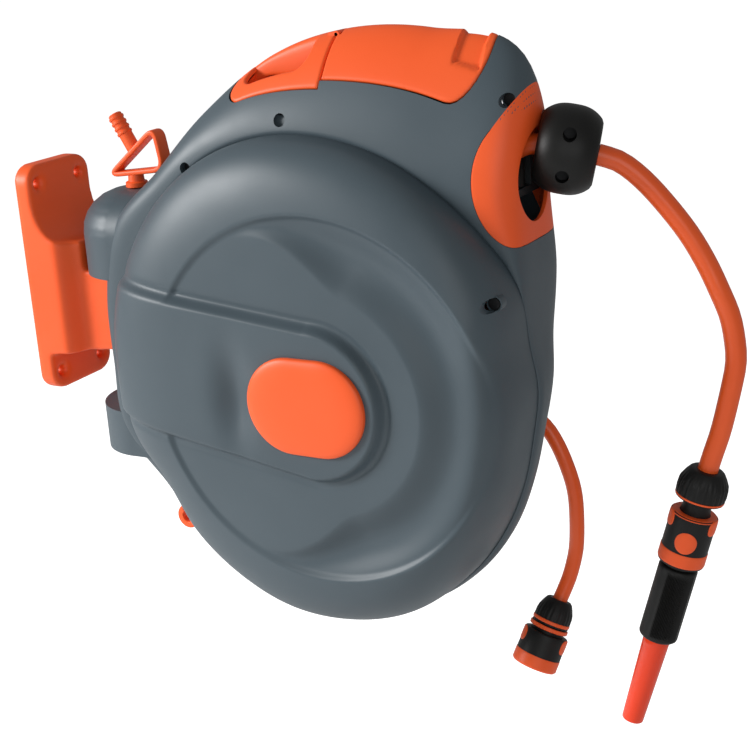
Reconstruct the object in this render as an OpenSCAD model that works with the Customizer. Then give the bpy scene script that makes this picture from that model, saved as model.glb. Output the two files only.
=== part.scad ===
// Wall mounted garden hose reel with spring rewind.
// Origin at the centre of the wall plate's back face, X out of the wall, Z up, drum axis along Y.

/* [Wall bracket] */
// Width of the wall plate
plate_w = 70; // [64:1:90]
// Height of the wall plate
plate_h = 172; // [166:1:200]
// Thickness of the wall plate
plate_t = 14; // [10:1:18]
// Corner radius of the wall plate
plate_corner_r = 14; // [8:1:18]
// Distance of the wall screws from the plate's long edges
hole_side = 12; // [11:1:15]
// Distance of the wall screws from the plate's short edges
hole_end = 14; // [13:1:21]
// Diameter of a wall screw hole
hole_d = 7; // [5:0.5:8]
// Diameter of a countersink
sink_d = 13; // [10:0.5:14]
// Depth of a countersink
sink_t = 3; // [2:0.5:4]
// Width of the arm at the pivot barrel
arm_w = 42; // [36:1:44]
// Length over which the arm keeps the plate's width
arm_side_l = 14; // [8:1:16]
// Length of the taper from the plate's width to the arm's
arm_taper_l = 16; // [10:1:17]
// Height of the arm at the pivot barrel
arm_h = 58; // [50:1:66]
// Height of the arm's shoulder over its top at the barrel
shoulder_h = 22; // [16:1:26]
// Extra depth of the arm at the plate
arm_root_h = 6; // [3:1:10]
// Height of the hollow curve from the shoulder up the plate
arm_flare_h = 30; // [20:1:34]
// Length of the hollow curve along the shoulder
arm_flare_l = 24; // [16:1:26]
// Diameter of the pivot barrel
barrel_d = 40; // [34:1:44]

/* [Swivel] */
// Distance of the swivel pin from the wall
pin_x = 86; // [82:1:92]
// Diameter of the swivel pin
pin_d = 12; // [10:0.5:14]
// Radial running clearance of the pins and shafts
run_clear = 0.05; // [0.02:0.01:0.08]
// Wall of a pivot bush
bush_t = 2; // [1.5:0.5:3]
// Length of a pivot bush
bush_l = 22; // [16:1:30]
// Diameter of the swivel lugs
lug_d = 84; // [76:1:86]
// Height of the underside of the upper lug
slot_top_z = 8; // [4:1:14]
// Height of the slot between the lugs
slot_h = 100; // [90:1:104]
// Height of the upper lug with its dome
upper_lug_h = 60; // [54:1:64]
// Height of the upper lug's upright side
lug_wall_h = 30; // [24:1:34]
// Height of the lower lug
lower_lug_h = 34; // [28:1:36]
// Gap between the barrel and each lug
lug_gap = 0.5; // [0.3:0.1:1]
// Diameter of the pin's collar
collar_d = 16; // [14:1:20]
// Height of the pin's collar
collar_h = 4; // [3:0.5:6]
// Width of the finger loop's strap
loop_w = 12; // [10:1:16]
// Thickness of the finger loop's strap
loop_t = 4; // [3:0.5:6]
// Diameter of the parking peg
peg_d = 10; // [8:0.5:12]
// Length of the parking peg
peg_l = 30; // [22:1:34]

/* [Case] */
// Distance of the drum axis from the swivel pin as a share of the case's radius
axis_share = 0.92; // [0.90:0.01:0.94]
// Height of the drum axis
axis_z = -53; // [-57:1:-50]
// Reference radius of the case outline
case_r = 200; // [196:1:206]
// Reference radius of the dome on the near side as a share of the case's radius
dome_share = 0.875; // [0.86:0.005:0.88]
// Depth of the near half
near_depth = 80; // [78:1:86]
// Depth of the far half
far_depth = 56; // [54:1:62]
// Height of the dome's seam above the parting plane
seam_h = 44; // [42:1:48]
// Wall thickness of the case
wall_t = 3; // [2.5:0.5:3.5]
// Depth of the crescent hollow in the dome
crescent_h = 7; // [4:1:8]
// Height of the raised tongue around the badge
tongue_h = 5; // [4:0.5:6]
// Length of the badge plate
badge_l = 88; // [80:1:92]
// Height of the badge plate
badge_w = 66; // [60:1:68]
// Thickness of the badge plate
badge_t = 6; // [4:0.5:8]
// Diameter of a case screw
screw_d = 4; // [3:0.5:4.5]
// Diameter of a case screw's head
head_d = 7.5; // [7:0.5:8]

/* [Top] */
// Half width of the lid
lid_half = 31; // [29:0.5:31.5]
// Place of the lid's front edge before the drum axis as a share of the case's radius
lid_front_share = 0.535; // [0.52:0.005:0.545]
// Corner radius of the lid's front
lid_corner_r = 24; // [18:1:26]
// Running gap around the lid
lid_gap = 0.6; // [0.4:0.1:0.8]
// Half width of the carry handle
handle_half = 34; // [33:0.5:35]
// Place of the handle's back edge behind the drum axis as a share of the case's radius
handle_back_share = 0.39; // [0.375:0.005:0.40]
// Corner radius of the handle's back
handle_corner_r = 12; // [8:1:16]
// Half width of the grip opening
grip_half = 26; // [22:1:27]
// Half width of the grip bar along the crown
bar_half = 6; // [5:0.5:8]
// Height of the grip bar
bar_t = 12; // [9:1:13]
// Start of the grip opening behind the drum axis as a share of the case's radius
grip_from_share = 0.345; // [0.32:0.005:0.35]
// End of the grip opening behind the drum axis as a share of the case's radius
grip_to_share = 0.095; // [0.09:0.005:0.12]
// Depth of the grip well below the ridge
well_depth = 37; // [34:1:38]
// Depth of the storage tray below the ridge
tray_depth = 54; // [44:1:56]
// Wall of the well and the tray
tray_t = 2.5; // [2:0.5:3]
// Diameter of the lid's hinge pin
hinge_d = 2.5; // [2:0.5:2.5]

/* [Outlet] */
// Place of the outlet trim's centre before the drum axis as a share of the case's radius
trim_x_share = 0.67; // [0.66:0.005:0.68]
// Height of the outlet trim's centre over the drum axis as a share of the case's radius
trim_z_share = 0.705; // [0.695:0.005:0.715]
// Half length of the trim along X as a share of the case's radius
trim_l_share = 0.15; // [0.14:0.005:0.155]
// Half height of the trim as a share of the case's radius
trim_h_share = 0.21; // [0.20:0.005:0.215]
// Half width of the mouth
mouth_half = 24.5; // [23:0.5:26]
// Height of the mouth
mouth_h = 60; // [56:1:62]
// Diameter of a guide roller
roller_d = 13; // [11:0.5:13]
// Length of a guide roller
roller_l = 44; // [38:1:44]
// Diameter of a roller pin
roller_pin_d = 4; // [3:0.5:5]
// Thickness of the roller frame's bars
frame_t = 5; // [4:0.5:6]
// Depth of the roller frame
frame_l = 14; // [12:1:16]

/* [Drum] */
// Diameter of the fixed axle
axle_d = 20; // [18:1:22]
// Bore of the axle
axle_bore_d = 11; // [9:1:12]
// Depth of the hose layers under the outer wound one
pack_h = 35; // [32:1:37]
// Wall of the drum core
core_t = 3; // [2.5:0.5:4]
// Radius of the drum flanges as a share of the case's radius
flange_share = 0.55; // [0.54:0.005:0.555]
// Thickness of a drum flange
flange_t = 4; // [3:0.5:5]
// Place of the near flange's inner face
drum_near_y = -52; // [-53:0.5:-50]
// Width of the hose space between the flanges
drum_w = 73; // [71:1:74]
// Wall of a drum bush
drum_bush_t = 3; // [2:0.5:4]
// Thickness of the power spring's strip
strip_spring_t = 1.2; // [0.8:0.1:1.6]
// Width of the power spring's strip
strip_spring_w = 30; // [24:1:34]
// Number of turns of the power spring
spring_turns = 7; // [5:1:9]
// Thickness of the spring cover
cover_t = 3; // [2:0.5:4]
// Diameter over the ratchet's teeth
ratchet_d = 128; // [120:1:132]
// Height of a ratchet tooth
tooth_h = 5; // [4:0.5:6]
// Number of ratchet teeth
teeth = 16; // [10:1:24]
// Thickness of the ratchet and the pawl
ratchet_t = 5; // [4:0.5:6]
// Length of the pawl
pawl_l = 30; // [24:1:32]
// Diameter of the pawl's pin
pawl_pin_d = 5; // [4:0.5:6]

/* [Hoses] */
// Outer diameter of the main hose
hose_d = 13.6; // [13:0.1:14]
// Outer diameter of the leader hose
leader_d = 11; // [10:0.5:12]
// Drop of the outer wound layer below the flanges' edge
pack_drop = 3.4; // [2.4:0.2:5]
// Loops of the outer wound layer
winding_loops = 4; // [3:1:4]
// Side gap between wound loops
winding_gap = 0.8; // [0.6:0.1:0.8]
// Length of the hose stop
stop_l = 38; // [34:1:42]
// Diameter of the hose stop
stop_d = 56; // [52:1:58]
// Diameter of the hose stop's ends
stop_end_d = 47; // [42:1:50]

/* [Connectors] */
// Diameter of the hose nut's wide end
nut_d = 33; // [30:1:34]
// Length of the hose nut
nut_l = 21; // [18:1:24]
// Diameter of the hose connector's inner barrel
inner_d = 20; // [18:1:22]
// Length of the hose connector's bare neck
neck_l = 10; // [8:1:12]
// Outer diameter of the hose connector's release collar
release_d = 32; // [30:1:34]
// Length of the hose connector's release collar
release_l = 37; // [32:1:40]
// Travel of a release collar
release_travel = 2.5; // [2:0.5:3]
// Length of the nozzle's twist barrel
barrel_l = 56; // [50:1:60]
// Diameter of the nozzle's twist barrel
twist_d = 26.5; // [24:0.5:29]
// Length of the nozzle's tip
tip_l = 67; // [60:1:74]
// Diameter of the nozzle tip's wide end
tip_d = 18.5; // [18:0.5:21]
// Diameter of the nozzle tip's mouth
tip_end_d = 15; // [13:0.5:16]
// Diameter of the nozzle's stem
stem_d = 13; // [12:0.5:14]
// Bore of the hose connector and the nozzle
water_d = 8; // [6:1:9]
// Bore of the leader connector's socket
socket_d = 18; // [16:1:19]
// Depth of the leader connector's socket
socket_l = 22; // [18:1:24]
// Length of the leader nut
leader_nut_l = 20; // [16:1:24]
// Diameter of the leader nut
leader_nut_d = 27; // [25:1:29]
// Diameter of the leader connector's inner barrel
leader_inner_d = 24; // [22:1:25]
// Outer diameter of the leader connector's release collar
leader_release_d = 34; // [32:1:36]
// Length of the leader connector's release collar
leader_release_l = 26; // [22:1:30]

/* [Hidden] */
$fn = 64;
over = 1;
part_gap = 0.3;
hair = 0.02;

// Places that follow the case's radius
axis_x = pin_x + axis_share * case_r;
dome_r = dome_share * case_r;
lid_front_x = axis_x + lid_front_share * case_r;
handle_back_x = axis_x - handle_back_share * case_r;
grip_from_x = axis_x - grip_from_share * case_r;
grip_to_x = axis_x - grip_to_share * case_r;
trim_x = axis_x + trim_x_share * case_r;
trim_z = axis_z + trim_z_share * case_r;
trim_half_l = trim_l_share * case_r;
trim_half_h = trim_h_share * case_r;
flange_d = 2 * flange_share * case_r;
pack_d = flange_d - 2 * (hose_d + pack_drop);
core_d = pack_d - 2 * pack_h;

// Routes of the hoses, chosen by hand: inside as shares of the case's radius from the drum axis,
// the main hose from the stop's centre and the leader from the elbow's centre
lead_shares = [[0.15, 0.063, 0.63], [0.35, 0.03, 0.70], [0.51, 0, 0.76], [0.58, 0, 0.78]];
lead_route = [for (q = lead_shares) [axis_x, 0, axis_z] + q * case_r];
stop_at = [trim_x, 0, trim_z] + [13, 8, 14];
stop_turn = 20;
stop_dip = 12;
main_way = [[30, 11, -9], [43, 15, -20], [56, 20, -36], [69, 25, -55], [79, 29, -74], [87, 31, -92],
    [93, 34, -109], [96, 35, -125], [97, 35, -139], [95, 34, -154], [89, 32, -184], [84, 30, -202]];
main_route = [for (q = main_way) stop_at + q];
nozzle_at = stop_at + [81, 29, -213];
nozzle_way = [-0.246, -0.089, -0.965];
elbow_y = 84;
leader_from = [axis_x, elbow_y, axis_z];
leader_drop = [[60, 0, -40], [79, 0, -49], [94, 0, -60], [103, 0, -73], [110, 0, -89], [115, 0, -106],
    [117, -1, -124], [117, -3, -150], [114, -7, -169], [111, -11, -180]];
leader_route = [for (q = leader_drop) leader_from + q];
leader_end = leader_from + [108, -15, -189];
leader_way = [-0.25, -0.42, -0.87];

// Shares of the case outline, the dome's seam, the seam's height and the roundness of both sides,
// one for each 15 degrees around the drum axis from +X towards +Z
outline_shares = [0.655, 0.67, 0.75, 0.91, 1.235, 1.195, 1.155, 1.11, 1.045, 1.00, 1.04, 1.01,
    0.98, 1.00, 0.95, 0.97, 0.95, 0.925, 0.885, 0.855, 0.80, 0.74, 0.685, 0.655];
seam_shares = [0.735, 0.755, 0.835, 0.87, 0.90, 0.93, 0.96, 0.99, 1.01, 1.015, 1.01, 0.995,
    0.98, 0.985, 0.935, 0.975, 1.00, 1.015, 0.995, 0.96, 0.895, 0.825, 0.77, 0.735];
height_shares = [0.15, 0.35, 0.62, 0.88, 1, 1, 1, 1, 1, 1, 1, 1,
    1, 1, 0.92, 0.80, 0.65, 0.50, 0.40, 0.30, 0.22, 0.17, 0.15, 0.15];
side_round_shares = [1, 1.3, 1.8, 1.7, 0.8, 0.75, 0.75, 0.85, 1.15, 1.75, 2.5, 2.5,
    2.5, 2.5, 2, 1.5, 1.25, 1, 1, 1, 1, 1, 1, 1];
far_round_shares = [1.2, 1.5, 2, 1.7, 0.8, 0.9, 1, 1.05, 1.3, 1.75, 2.25, 2.25,
    2.25, 2.25, 1.8, 1.5, 1.25, 1.1, 1, 1, 1, 1, 1, 1];
// Rings of the dome as shares of the seam's radius, and of the sides beyond it
dome_ring_shares = [0.13, 0.26, 0.40, 0.52, 0.62, 0.71, 0.79, 0.86, 0.92, 0.97, 1];
side_ring_shares = [0.25, 0.50, 0.72, 0.88, 0.97];
far_ring_shares = [0.18, 0.36, 0.52, 0.66, 0.76, 0.84, 0.90, 0.95, 0.985];
case_steps = 60;

// Shape of the dome
flat_r = 0.5 * case_r;
far_flat_r = 0.3 * case_r;
dome_power = 2.6;
round_power = 2;
crescent_r = 0.62 * case_r;
crescent_in_r = 0.42 * case_r;
crescent_edge = 8;
crescent_low_share = -0.45;
crescent_high_share = 0.35;
tongue_r = 52;
tongue_rise_share = 0.11;
tongue_sink_share = 0.16;
tongue_edge = 8;
tongue_fall = 34;
tongue_reach = 0.95 * case_r;

function clamp01(v) = min(1, max(0, v));
function smooth(a, b, v) = let (q = clamp01((v - a) / (b - a))) q * q * (3 - 2 * q);
function knot(v, i) = v[(i + 2 * len(v)) % len(v)];
function around(v, t) =
    let (u = t / 360 * len(v), i = floor(u), f = u - i,
        a = knot(v, i - 1), b = knot(v, i), c = knot(v, i + 1), d = knot(v, i + 2))
    b + 0.5 * f * (c - a + f * (2 * a - 5 * b + 4 * c - d + f * (3 * (b - c) + d - a)));
function out_r(t) = case_r * around(outline_shares, t);
function seam_r(t) = dome_r * around(seam_shares, t);
function seam_rise(t) = seam_h * around(height_shares, t);
function polar(t, r) = [axis_x + r * cos(t), axis_z + r * sin(t)];
function unit(v) = v / norm(v);
function arch(q, n) = pow(1 - pow(clamp01(q), n), 1 / n);
function quarter(q, n) = pow(1 - pow(1 - clamp01(q), n), 1 / n);

// Height of the near half above the parting plane at angle t and radius r
function near_base(t, r) =
    let (rs = seam_r(t), hs = seam_rise(t))
    r >= rs ? hs * arch((r - rs) / (out_r(t) - rs), round_power * around(side_round_shares, t))
        : hs + (near_depth - hs) * quarter((rs - r) / (rs - flat_r), dome_power);
function crescent(t, r) =
    let (open = smooth(crescent_low_share, crescent_high_share, cos(t)),
        inner = crescent_r - (crescent_r - crescent_in_r) * open, e = crescent_edge / 2)
    smooth(inner - e, inner + e, r) * (1 - smooth(crescent_r - e, crescent_r + e, r));
function tongue_mask(u, w) =
    let (back = max(0, -u),
        d = u > 0 ? tongue_r - norm([u, w])
            : w > 0 ? tongue_r + tongue_rise_share * back - w
            : tongue_r - tongue_sink_share * back + w)
    smooth(-tongue_edge / 2, tongue_edge / 2, d);
function tongue_top(u) = near_depth - tongue_fall * pow(max(0, -u) / tongue_reach, 1.5);
function near_rise(t, r) =
    let (u = r * cos(t), w = r * sin(t), base = near_base(t, r) - crescent_h * crescent(t, r))
    base + tongue_mask(u, w) * (tongue_h + max(0, tongue_top(u) - base));
function far_rise(t, r) =
    far_depth * arch((r - far_flat_r) / (out_r(t) - far_flat_r), round_power * around(far_round_shares, t));
near_top = near_depth + tongue_h;

function near_radius(t, k) =
    k < len(dome_ring_shares) ? seam_r(t) * dome_ring_shares[k]
        : seam_r(t) + (out_r(t) - seam_r(t)) * side_ring_shares[k - len(dome_ring_shares)];
near_count = len(dome_ring_shares) + len(side_ring_shares);
far_count = len(far_ring_shares);
step_t = 360 / case_steps;
function shell_radius(side, t, k) = side < 0 ? near_radius(t, k) : out_r(t) * far_ring_shares[k];
function shell_rise(side, t, r) = side < 0 ? near_rise(t, r) : far_rise(t, r);
function shell_point(side, t, r, h) = [axis_x + r * cos(t), side * h, axis_z + r * sin(t)];
function shell_ring(side, k) =
    [for (i = [0 : case_steps - 1]) let (t = i * step_t, r = shell_radius(side, t, k))
        shell_point(side, t, r, shell_rise(side, t, r))];
function inner_ring(side, k) =
    [for (i = [0 : case_steps - 1])
        let (t = i * step_t, r = shell_radius(side, t, k), q = (out_r(t) - wall_t) / out_r(t))
        shell_point(side, t, r * q, max(shell_rise(side, t, r) - wall_t, 0))];
function rim_ring(inset) =
    [for (i = [0 : case_steps - 1]) let (t = i * step_t) shell_point(1, t, out_r(t) - inset, 0)];
function flip(side, f) = side < 0 ? f : [for (i = [len(f) - 1 : -1 : 0]) f[i]];

// One half of the case: an outer and an inner skin joined at the parting plane
module case_half(side, count) {
    top = side < 0 ? near_top : far_depth;
    rows = concat(
        [for (k = [0 : count - 1]) shell_ring(side, k)],
        [rim_ring(0), rim_ring(wall_t)],
        [for (k = [count - 1 : -1 : 0]) inner_ring(side, k)]);
    n = case_steps;
    points = concat([for (row = rows, p = row) p],
        [[axis_x, side * top, axis_z], [axis_x, side * (top - wall_t), axis_z]]);
    last = len(rows) - 1;
    cap = len(points) - 2;
    faces = concat(
        [for (i = [0 : n - 1]) [cap, (i + 1) % n, i]],
        [for (k = [0 : last - 1], i = [0 : n - 1], half = [0, 1])
            let (a = k * n + i, b = k * n + (i + 1) % n, c = b + n, d = a + n)
            half == 0 ? [a, b, c] : [a, c, d]],
        [for (i = [0 : n - 1]) [last * n + i, last * n + (i + 1) % n, cap + 1]]);
    polyhedron(points, [for (f = faces) flip(side, f)]);
}

// Extrudes an outline drawn in X and Z between two places along Y
module across(y0, y1) translate([0, y1, 0]) rotate([90, 0, 0]) linear_extrude(y1 - y0) children();
// A cylinder along Y on the drum axis
module turned(d, y0, y1) translate([axis_x, y0, axis_z]) rotate([-90, 0, 0]) cylinder(d = d, h = y1 - y0);
module tube_y(d_out, d_in, y0, y1) difference() {
    turned(d_out, y0, y1);
    turned(d_in, y0 - over, y1 + over);
}
// Turns +Z to a given way at a given place
module along(at, way) translate(at) rotate([0, acos(way[2] / norm(way)), atan2(way[1], way[0])]) children();
module outline(inset) polygon([for (i = [0 : case_steps - 1]) polar(i * step_t, out_r(i * step_t) - inset)]);

// A solid slice of the case beyond its seam, between two columns and inset all over
loaf_near = len(dome_ring_shares) - 1;
loaf_far = 4;
function loaf_point(side, t, r, inset) =
    shell_point(side, t, r * (out_r(t) - inset) / out_r(t), shell_rise(side, t, r) - inset);
function loaf_column(t, inset) = concat(
    [for (k = [loaf_near : near_count - 1]) loaf_point(-1, t, near_radius(t, k), inset)],
    [shell_point(1, t, out_r(t) - inset, 0)],
    [for (k = [far_count - 1 : -1 : loaf_far]) loaf_point(1, t, out_r(t) * far_ring_shares[k], inset)]);
loaf_count = near_count - loaf_near + 1 + far_count - loaf_far;
module loaf(i0, i1, inset) {
    n = loaf_count;
    m = i1 - i0;
    points = [for (i = [i0 : i1]) each loaf_column(i * step_t, inset)];
    faces = concat([[for (k = [0 : n - 1]) k]],
        [for (i = [0 : m - 1], k = [0 : n - 1], half = [0, 1])
            let (a = i * n + k, b = i * n + (k + 1) % n, c = b + n, d = a + n, near = k < near_count - loaf_near)
            near ? (half == 0 ? [a, d, c] : [a, c, b]) : (half == 0 ? [a, d, b] : [d, c, b])],
        [[for (k = [n - 1 : -1 : 0]) m * n + k]]);
    polyhedron(points, faces);
}
// An upright prism over an outline drawn in X and Y
plan_low_z = axis_z + 0.765 * case_r;
plan_high_z = axis_z + 1.465 * case_r;
module plan() translate([0, 0, plan_low_z]) linear_extrude(plan_high_z - plan_low_z) children();
module plan_box(x0, x1, half) translate([x0, -half]) square([x1 - x0, 2 * half]);

// A hose swept along points, with the rings turned from a fixed side way
function tangent(p, i) = unit(p[min(i + 1, len(p) - 1)] - p[max(i - 1, 0)]);
function hose_ring(p, i, r, n, ref) =
    let (d = tangent(p, i), s = unit(cross(d, ref)), q = cross(s, d))
    [for (j = [0 : n - 1]) p[i] + r * (cos(360 * j / n) * s + sin(360 * j / n) * q)];
module hose(p, d, n, ref) {
    m = len(p);
    points = [for (i = [0 : m - 1]) each hose_ring(p, i, d / 2, n, ref)];
    faces = concat([[for (j = [0 : n - 1]) j]],
        [for (i = [0 : m - 2], j = [0 : n - 1], half = [0, 1])
            let (a = i * n + j, b = i * n + (j + 1) % n, c = b + n, e = a + n)
            half == 0 ? [a, e, c] : [a, c, b]],
        [[for (j = [n - 1 : -1 : 0]) (m - 1) * n + j]]);
    polyhedron(points, faces);
}
hose_sides = 12;
stop_way = [cos(stop_turn) * cos(stop_dip), sin(stop_turn) * cos(stop_dip), -sin(stop_dip)];
stop_in = stop_at - stop_way * stop_l / 2;
stop_out = stop_at + stop_way * stop_l / 2;
hose_side_way = [-sin(stop_turn), cos(stop_turn), 0];

// The outer layer of the wound hose, which leaves the drum towards the outlet
winding_steps = 24;
winding_r = (pack_d / 2 + hose_d / 2 + part_gap) / cos(180 / winding_steps);
winding_pitch = hose_d + winding_gap;
leave_to = [lead_route[0][0] - axis_x, lead_route[0][2] - axis_z];
leave_t = atan2(leave_to[1], leave_to[0]) + acos(winding_r / norm(leave_to));
winding_first_y = drum_near_y + hose_d / 2 + part_gap;
function winding_point(k) =
    let (t = leave_t + 360 * (winding_loops - k / winding_steps))
    [axis_x + winding_r * cos(t), winding_first_y + winding_pitch * k / winding_steps,
        axis_z + winding_r * sin(t)];
winding_last = winding_loops * winding_steps;
leave_way = [sin(leave_t), 0, -cos(leave_t)];
winding_body = [for (k = [0 : winding_last]) winding_point(k)];
winding = concat([winding_body[0] - leave_way * hose_d], winding_body,
    [winding_body[winding_last] + leave_way * hose_d]);
winding_end = winding[len(winding) - 1];
lead = concat([winding_end + leave_way * part_gap], lead_route, [stop_in, stop_out]);
main_hose_path = concat([stop_out], main_route, [nozzle_at]);
elbow_turn = 34;
elbow_d = 30;
elbow_face_y = 60;
branch_d = 18;
branch_bore_d = 8;
branch_l = 34;
inlet_nut_d = 26;
inlet_nut_l = 22;
inlet_nut_over = 8;
inlet_plate_d = 68;
leader_start_l = branch_l + inlet_nut_l - inlet_nut_over;
leader_start = [axis_x + leader_start_l * cos(elbow_turn), elbow_y, axis_z - leader_start_l * sin(elbow_turn)];
leader_path = concat([leader_start], leader_route, [leader_end]);

function gaps_between(p, near) =
    [for (i = [0 : len(p) - 1], j = [i + near : 1 : len(p) - 1]) norm(p[i] - p[j]) - hose_d];
echo(winding_least_gap = min(gaps_between(winding, winding_steps / 2)));

case_grey = "#5f6b71";
trim_orange = "#f3682e";
hose_orange = "#eb5514";
black_plastic = "#1c1c1b";
dark_plastic = "#33383a";
steel = "#b9bdc0";

// Wall bracket
arm_top_z = slot_top_z - lug_gap;
shoulder_z = arm_top_z + shoulder_h;
shoulder_x = pin_x - lug_d / 2 - 2 * lug_gap;
barrel_bottom_z = slot_top_z - slot_h + lug_gap;
module plate_outline() {
    square([plate_w - 2 * plate_corner_r, plate_h], center = true);
    square([plate_w, plate_h - 2 * plate_corner_r], center = true);
    for (y = [-1, 1], z = [-1, 1])
        translate([y * (plate_w / 2 - plate_corner_r), z * (plate_h / 2 - plate_corner_r)]) circle(r = plate_corner_r);
}
module arm_outline() polygon(concat(
    [for (a = [0 : 10 : 90])
        [plate_t + arm_flare_l * (1 - cos(a)), shoulder_z + arm_flare_h * (1 - sin(a))]],
    [[shoulder_x, shoulder_z], [shoulder_x, arm_top_z], [pin_x, arm_top_z], [pin_x, arm_top_z - arm_h],
        [plate_t, arm_top_z - arm_h - arm_root_h], [plate_t - over, arm_top_z - arm_h - arm_root_h],
        [plate_t - over, shoulder_z + arm_flare_h]]));
function arm_half(s) = arm_w / 2 + (plate_w - arm_w) / 4 * (1 + cos(180 * s));
arm_sides = [for (s = [0 : 0.125 : 1]) [plate_t + arm_side_l + arm_taper_l * s, arm_half(s)]];
module arm_plan() polygon(concat(
    [[plate_t - over, -plate_w / 2]], [for (p = arm_sides) [p[0], -p[1]]], [[pin_x, -arm_w / 2], [pin_x, arm_w / 2]],
    [for (i = [len(arm_sides) - 1 : -1 : 0]) arm_sides[i]], [[plate_t - over, plate_w / 2]]));
module wall_bracket() color(trim_orange) difference() {
    union() {
        rotate([90, 0, 90]) linear_extrude(plate_t) plate_outline();
        intersection() {
            across(-plate_w / 2, plate_w / 2) arm_outline();
            translate([0, 0, -plate_h / 2]) linear_extrude(plate_h) arm_plan();
        }
        translate([pin_x, 0, barrel_bottom_z]) cylinder(d = barrel_d, h = arm_top_z - barrel_bottom_z);
    }
    translate([pin_x, 0, barrel_bottom_z - over])
        cylinder(d = pin_d + 2 * run_clear + 2 * bush_t, h = slot_h + 2 * over);
    for (y = [-1, 1], z = [-1, 1])
        translate([0, y * (plate_w / 2 - hole_side), z * (plate_h / 2 - hole_end)]) rotate([0, 90, 0]) {
        translate([0, 0, -over]) cylinder(d = hole_d, h = plate_t + 2 * over);
        translate([0, 0, plate_t - sink_t]) cylinder(d1 = hole_d, d2 = sink_d, h = sink_t);
    }
}
module pivot_bushes() color(black_plastic)
    for (z = [barrel_bottom_z, arm_top_z - bush_l]) translate([pin_x, 0, z]) difference() {
        cylinder(d = pin_d + 2 * run_clear + 2 * bush_t - 2 * hair, h = bush_l);
        translate([0, 0, -over]) cylinder(d = pin_d + 2 * run_clear, h = bush_l + 2 * over);
    }

// Case halves
slot_clear_d = 72;
lug_top_z = slot_top_z + upper_lug_h;
lug_bottom_z = slot_top_z - slot_h - lower_lug_h;
lug_floor_z = slot_top_z - slot_h;
lug_flat_r = collar_d / 2 + 2 * over;
lug_dome_z = slot_top_z + lug_wall_h;
module upper_lug(grow) translate([pin_x, 0, 0]) rotate_extrude() polygon(concat(
    [[0, slot_top_z - grow], [lug_d / 2 + grow, slot_top_z - grow]],
    [for (a = [0 : 15 : 90]) [lug_flat_r + (lug_d / 2 - lug_flat_r) * cos(a) + grow,
        lug_dome_z + (lug_top_z - lug_dome_z) * sin(a) + grow]],
    [[0, lug_top_z + grow]]));
module rear_cut() {
    upper_lug(part_gap);
    translate([pin_x, 0, lug_floor_z]) cylinder(d = slot_clear_d, h = slot_h);
    translate([pin_x, 0, lug_bottom_z - part_gap])
        cylinder(d = lug_d + 2 * part_gap, h = lower_lug_h + 2 * part_gap);
    translate([pin_x, 0, lug_bottom_z - 2 * pin_tip_l]) cylinder(d = pin_d + 2 * over, h = 2 * pin_tip_l);
}
module trim_outline(grow) translate([trim_x, trim_z])
    polygon([for (a = [0 : 7.5 : 352.5]) [(trim_half_l + grow) * cos(a), (trim_half_h + grow) * sin(a)]]);
module case_cuts() {
    plan() handle_outline(part_gap);
    plan() lid_outline(lid_gap);
    plan() plan_box(hinge_place[0] - 2 * lid_gap, hinge_place[0] + 2 * lid_gap, lid_half + lid_gap);
    across(-near_top, far_depth) trim_outline(part_gap);
    rear_cut();
}
// Angles of the case screws and their places inside the outline
screw_angles = [126.5, 99.5, 57.4, 30];
screw_inset_shares = [0.12, 0.225, 0.075, 0.045];
boss_d = 11;
screw_sink = 5;
function screw_radius(i) = out_r(screw_angles[i]) - screw_inset_shares[i] * case_r;
function screw_place(i) = polar(screw_angles[i], screw_radius(i));
function screw_rise(i) = near_rise(screw_angles[i], screw_radius(i));
module at_screw(i) translate([screw_place(i)[0], 0, screw_place(i)[1]]) rotate([-90, 0, 0]) children();
screws = [0 : len(screw_angles) - 1];
module near_shell() color(case_grey) difference() {
    union() {
        difference() {
            case_half(-1, near_count);
            case_cuts();
        }
        for (i = screws) at_screw(i) translate([0, 0, -screw_rise(i) + wall_t / 2])
            cylinder(d = boss_d, h = screw_rise(i) - wall_t / 2);
    }
    for (i = screws) at_screw(i) {
        translate([0, 0, -near_top]) cylinder(d = head_d + 2 * part_gap, h = near_top - screw_rise(i) + screw_sink + head_h);
        translate([0, 0, -near_top]) cylinder(d = screw_d + 2 * part_gap, h = 2 * near_top);
    }
}
head_h = 3;
screw_bite = 14;
// Room for the handle's skin among the screw bosses
module handle_room() difference() {
    plan() handle_outline(lid_gap);
    loaf(handle_columns[0], handle_columns[1], wall_t + lid_gap);
}
module far_shell() color(case_grey) difference() {
    union() {
        difference() {
            case_half(1, far_count);
            case_cuts();
        }
        difference() {
            for (i = screws) at_screw(i)
                cylinder(d = boss_d, h = far_rise(screw_angles[i], screw_radius(i)) - wall_t / 2);
            handle_room();
        }
    }
    turned(axle_d + 2 * part_gap, 0, far_depth + over);
    for (i = screws) at_screw(i) translate([0, 0, -over]) cylinder(d = screw_d + 2 * hair, h = screw_bite + over);
}
yoke_reach = 42;
yoke_half_w = 32;
web_t = 5;
yoke_screw_x = 8;
yoke_screw_z = 10;
yoke_screw_l = 16;
function yoke_screw_heights() = [slot_top_z + yoke_screw_z, lug_floor_z - yoke_screw_z];
function yoke_screw_y() = -sqrt(pow(lug_d / 2, 2) - pow(yoke_screw_x, 2));
module at_yoke_screw(z) translate([pin_x + yoke_screw_x, yoke_screw_y(), z]) rotate([-90, 0, 0]) children();
module yoke_block(z, h) translate([0, -yoke_half_w, z]) cube([yoke_reach, 2 * yoke_half_w, h]);
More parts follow.
